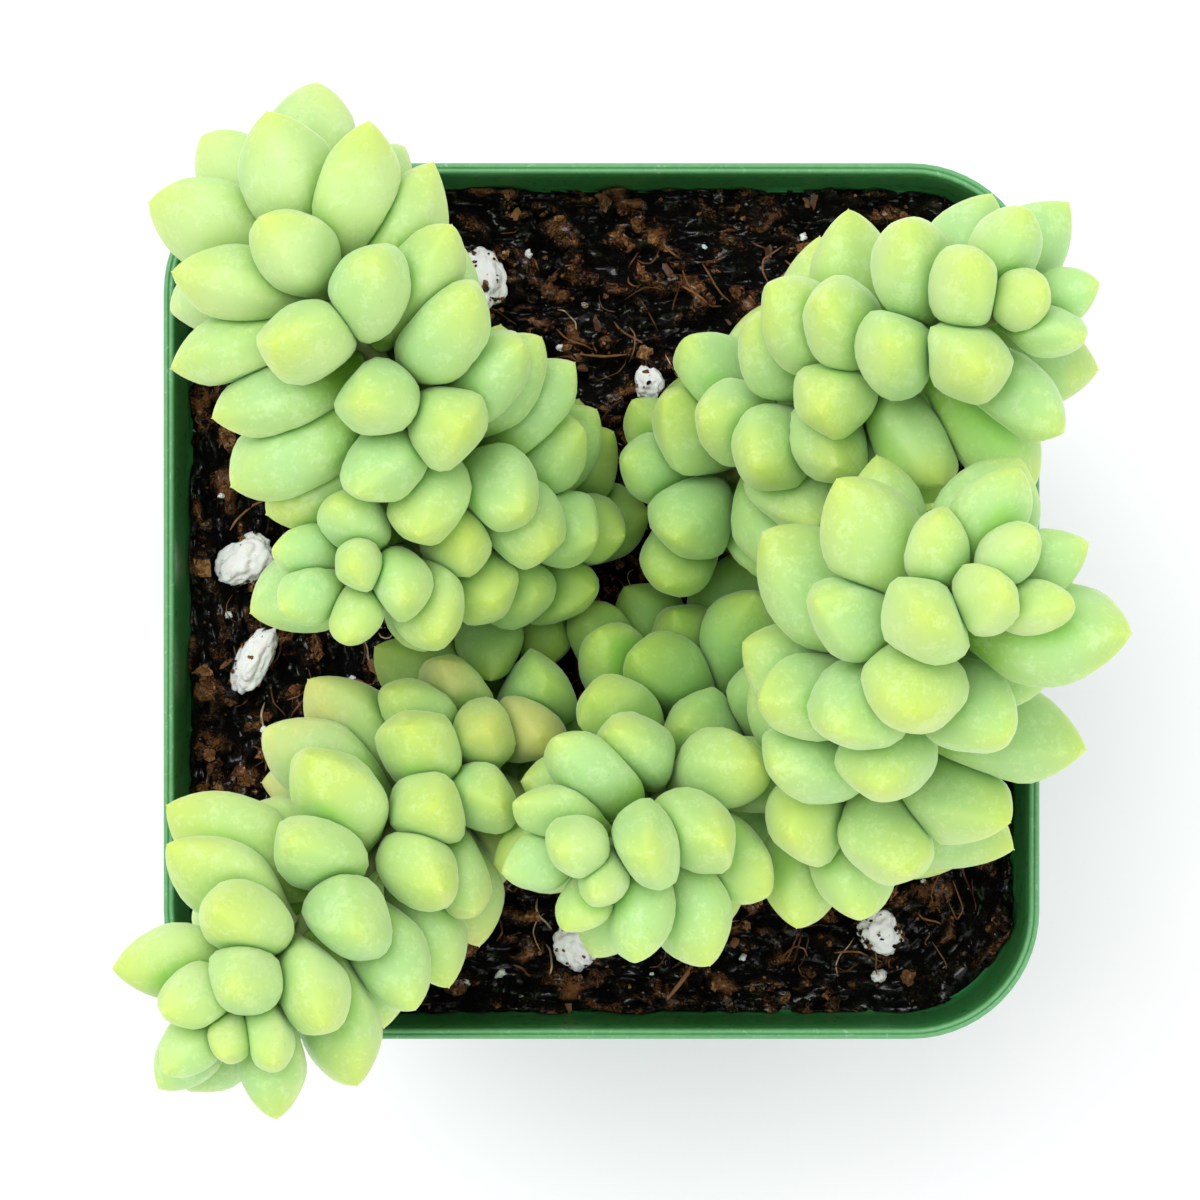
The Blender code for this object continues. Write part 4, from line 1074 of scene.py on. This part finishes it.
def build_pot(finish):
    top, step = POT_HEIGHT, POT_HEIGHT - COLLAR_DROP
    # Inset from the rim's outer face, height, how strong the lip's painted highlight is, and how much
    # the inside's finish (painted light, mud and dust) shows.
    lip = [
        (0.55, step, 0, 0), (0.4, step + 0.3, 0, 0), (0.32, step + 3, 0, 0), (0.26, top - 1.9, 0, 0),
        (0.24, top - 1.35, 0.2, 0), (0.03, top - 1.1, 0.6, 0), (0.0, top - 0.75, 1, 0),
        (0.0, top - 0.4, 1, 0), (0.07, top - 0.15, 1, 0), (0.2, top - 0.02, 1, 0), (0.32, top, 1, 0),
        (0.42, top - 0.05, 0.9, 0), (0.48, top - 0.13, 0.6, 0), (0.55, top - 0.05, 0.9, 0),
        (0.66, top, 1, 0), (0.78, top - 0.02, 1, 0), (0.9, top - 0.13, 0.8, 0),
        (0.98, top - 0.35, 0.4, 0.4), (1.03, top - 0.65, 0.2, 0.8), (1.1, top - 0.9, 0.1, 1),
    ]
    profile = [
        (BASE_HALF - 1.6, body_corner(0) - 1.2, 0.0, 0, 0),
        (BASE_HALF - 0.9, body_corner(0) - 0.8, 0.12, 0, 0),
        (BASE_HALF - 0.25, body_corner(0) - 0.2, 0.5, 0, 0),
        (BASE_HALF, body_corner(0), 1.2, 0, 0),
    ]
    for z in np.linspace(3, step - 1.0, 14):
        profile.append((body_half(z), body_corner(z), z, 0, 0))
    profile.append((body_half(step) + 0.05, body_corner(step), step - 0.35, 0, 0))
    profile.append((body_half(step) + 0.4, body_corner(step) + 0.4, step - 0.05, 0, 0))
    for inset, z, shine, within in lip:
        profile.append((RIM_HALF - inset, RIM_CORNER - inset, z, shine, within))
    for z in (top - 1.6, top - 3, top - 5, top - 7, LEDGE + 0.4):
        profile.append((inner_half(z), inner_corner(z), z, 0, 1))
    profile.append((inner_half(LEDGE + 0.1) - 0.3, inner_corner(LEDGE + 0.1) - 0.3, LEDGE + 0.05, 0, 1))
    for z in (LEDGE, 40, 20, FLOOR + 1.2):
        profile.append((inner_half(z), inner_corner(z), z, 0, 1))
    profile.append((inner_half(FLOOR) - 0.8, inner_corner(FLOOR) - 0.8, FLOOR, 0, 1))
    rings = [smooth_square(half, corner, z, 14, 24) for half, corner, z, _, _ in profile]
    count = len(rings[0])
    points = np.vstack([(0, 0, 0), *rings, (0, 0, FLOOR)])
    shine = np.concatenate([[0], np.repeat([row[3] for row in profile], count), [0]])
    within = np.concatenate([[0], np.repeat([row[4] for row in profile], count), [1]])
    made = piece_from("nursery_pot", points, skin(len(rings), count), finish, lip=shine, inside=within)
    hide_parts("pot")
    reach = BASE_HALF - 2.6
    parts = []
    for x, y in ((1, 1), (-1, 1), (-1, -1), (1, -1)):
        middle = np.array([x * reach, y * reach, 0.6])
        out = unit(np.array([x, y, -0.9]))
        side = unit(np.array([-y, x, 0.0]))
        up = np.cross(out, side)
        turns = np.arange(24) * math.pi / 12
        ring = DRAIN_HOLE / 2 * spokes(turns, side, up)
        inner, outer = middle - 4.2 * out, middle + 8 * out
        ends = [inner, inner + ring, outer + ring, outer]
        parts.append((np.vstack(ends), skin(2, 24), {}))
    points, faces, _ = gathered(parts)
    cutter = piece_from("drain_cutter", points, faces, finish, smooth=False)
    modifier = made.modifiers.new("drain holes", "BOOLEAN")
    modifier.operation = "DIFFERENCE"
    modifier.solver = "EXACT"
    modifier.object = cutter
    bpy.context.view_layer.update()
    shape = bpy.data.meshes.new_from_object(made.evaluated_get(bpy.context.evaluated_depsgraph_get()))
    made.modifiers.clear()
    made.data = shape
    shape.set_sharp_from_angle(angle=math.radians(50))
    bpy.data.objects.remove(cutter)


# ---- surroundings ----
def build_floor():
    mesh = bpy.data.meshes.new("floor")
    half = 3.0
    mesh.from_pydata([(-half, -half, 0), (half, -half, 0), (half, half, 0), (-half, half, 0)], [],
                     [(0, 1, 2, 3)])
    mesh.materials.append(floor_finish())
    shown("floor", mesh)


def area_light(name, place, aim, size, power):
    light = bpy.data.lights.new(name, "AREA")
    light.shape = "DISK"
    light.size = size
    light.energy = power
    lamp = shown(name, light)
    lamp.location = place
    lamp.rotation_euler = (Vector(aim) - Vector(place)).to_track_quat("-Z", "Y").to_euler()


def build_light():
    aim = (0, 0, 0.08)
    area_light("key", (-0.3, 0.36, 1.0), aim, 0.9, 7.5)
    area_light("fill", (0.6, -0.5, 0.8), aim, 1.0, 3.2)
    world = bpy.data.worlds.new("soft white room")
    world.use_nodes = True
    walls = world.node_tree.nodes["Background"].inputs
    walls["Color"].default_value = (0.97, 0.985, 1, 1)
    walls["Strength"].default_value = 0.8
    bpy.context.scene.world = world
    bpy.context.scene.view_settings.view_transform = "Standard"


def build_camera():
    data = bpy.data.cameras.new("camera")
    # 52 is half of what is seen across, in mm on the rim's plane.
    data.sensor_width = 36
    data.lens = 18 / (52.0 / EYE)
    data.clip_start = 0.01
    camera = shown("camera", data)
    camera.location = (-0.13 * MM, 0.09 * MM, (POT_HEIGHT + EYE) * MM)
    bpy.context.scene.camera = camera


# How far the tails' oldest leaves have blushed.
AGED = {"front_left": 0.9, "rear_right": 0.2, "rear_left": 0.15}
PERLITE_DIRT = {
    "perlite_left_rear": 0.0, "perlite_left_front": 0.08, "perlite_rear": 0.45,
    "perlite_middle_rear": 0.15, "perlite_front": 0.25, "perlite_front_right": 0.4,
}
# x, y and half size of the small white grains.
PERLITE_CRUMBS = (
    (-9.0, -33.2, 0.45), (-22.2, -7.1, 0.5), (17.9, 32.3, 0.35), (-6.6, 30.8, 0.5), (18.5, 27, 0.4),
    (24.6, -33.4, 0.6), (-27.5, 7.5, 0.35), (-33.2, -1.2, 0.4), (-30, -11.4, 0.3), (9.2, 31.6, 0.25),
    (-1.5, 26.4, 0.3), (31.6, -20.2, 0.35), (12.6, -31.7, 0.3), (4.4, -33.3, 0.25), (-12, -33.9, 0.3),
    (28.6, -24.9, 0.3), (22.4, 30.8, 0.25), (-33.6, 9.3, 0.25), (-3.6, 22.5, 0.35),
)
# Strands that lie on the soil: points (x, y, lift above the soil), radius.
TWIGS = (
    (((5.8, -35.2, 0.5), (7.4, -33.2, 0.9), (8.9, -31.2, 0.8)), 0.2),
    (((-1.9, 21.9, 0.5), (0.2, 21.8, 0.7), (2.2, 21.9, 0.5)), 0.12),
    (((-34, 13.6, 0.5), (-33.5, 15.6, 0.8), (-32.2, 17.0, 0.6)), 0.11),
    (((31.2, -24.8, 0.5), (32.2, -27.4, 1.1), (31.6, -28.4, 1.2), (30.8, -26.8, 0.8)), 0.07),
    (((29.4, -30.3, 0.5), (30.8, -32.4, 0.9), (30.4, -34.0, 0.5)), 0.06),
    (((16.4, 30.4, 0.4), (17.6, 29.4, 0.8), (19.0, 29.3, 0.6)), 0.12),
)


def main():
    stems, leaves = grow()
    white, peat = perlite_finish(), soil_finish()
    build_pot(pot_finish())
    rng = np.random.default_rng(7)
    build_bed(peat)
    build_crumbs(rng, peat)
    build_litter(rng, fibre_finish())
    build_grit(rng, white)
    build_perlite(white, peat)
    build_stems(stems, stem_finish())
    build_leaves(stems, leaves, leaf_finish())
    build_floor()
    build_light()
    build_camera()


main()
bpy.context.view_layer.update()
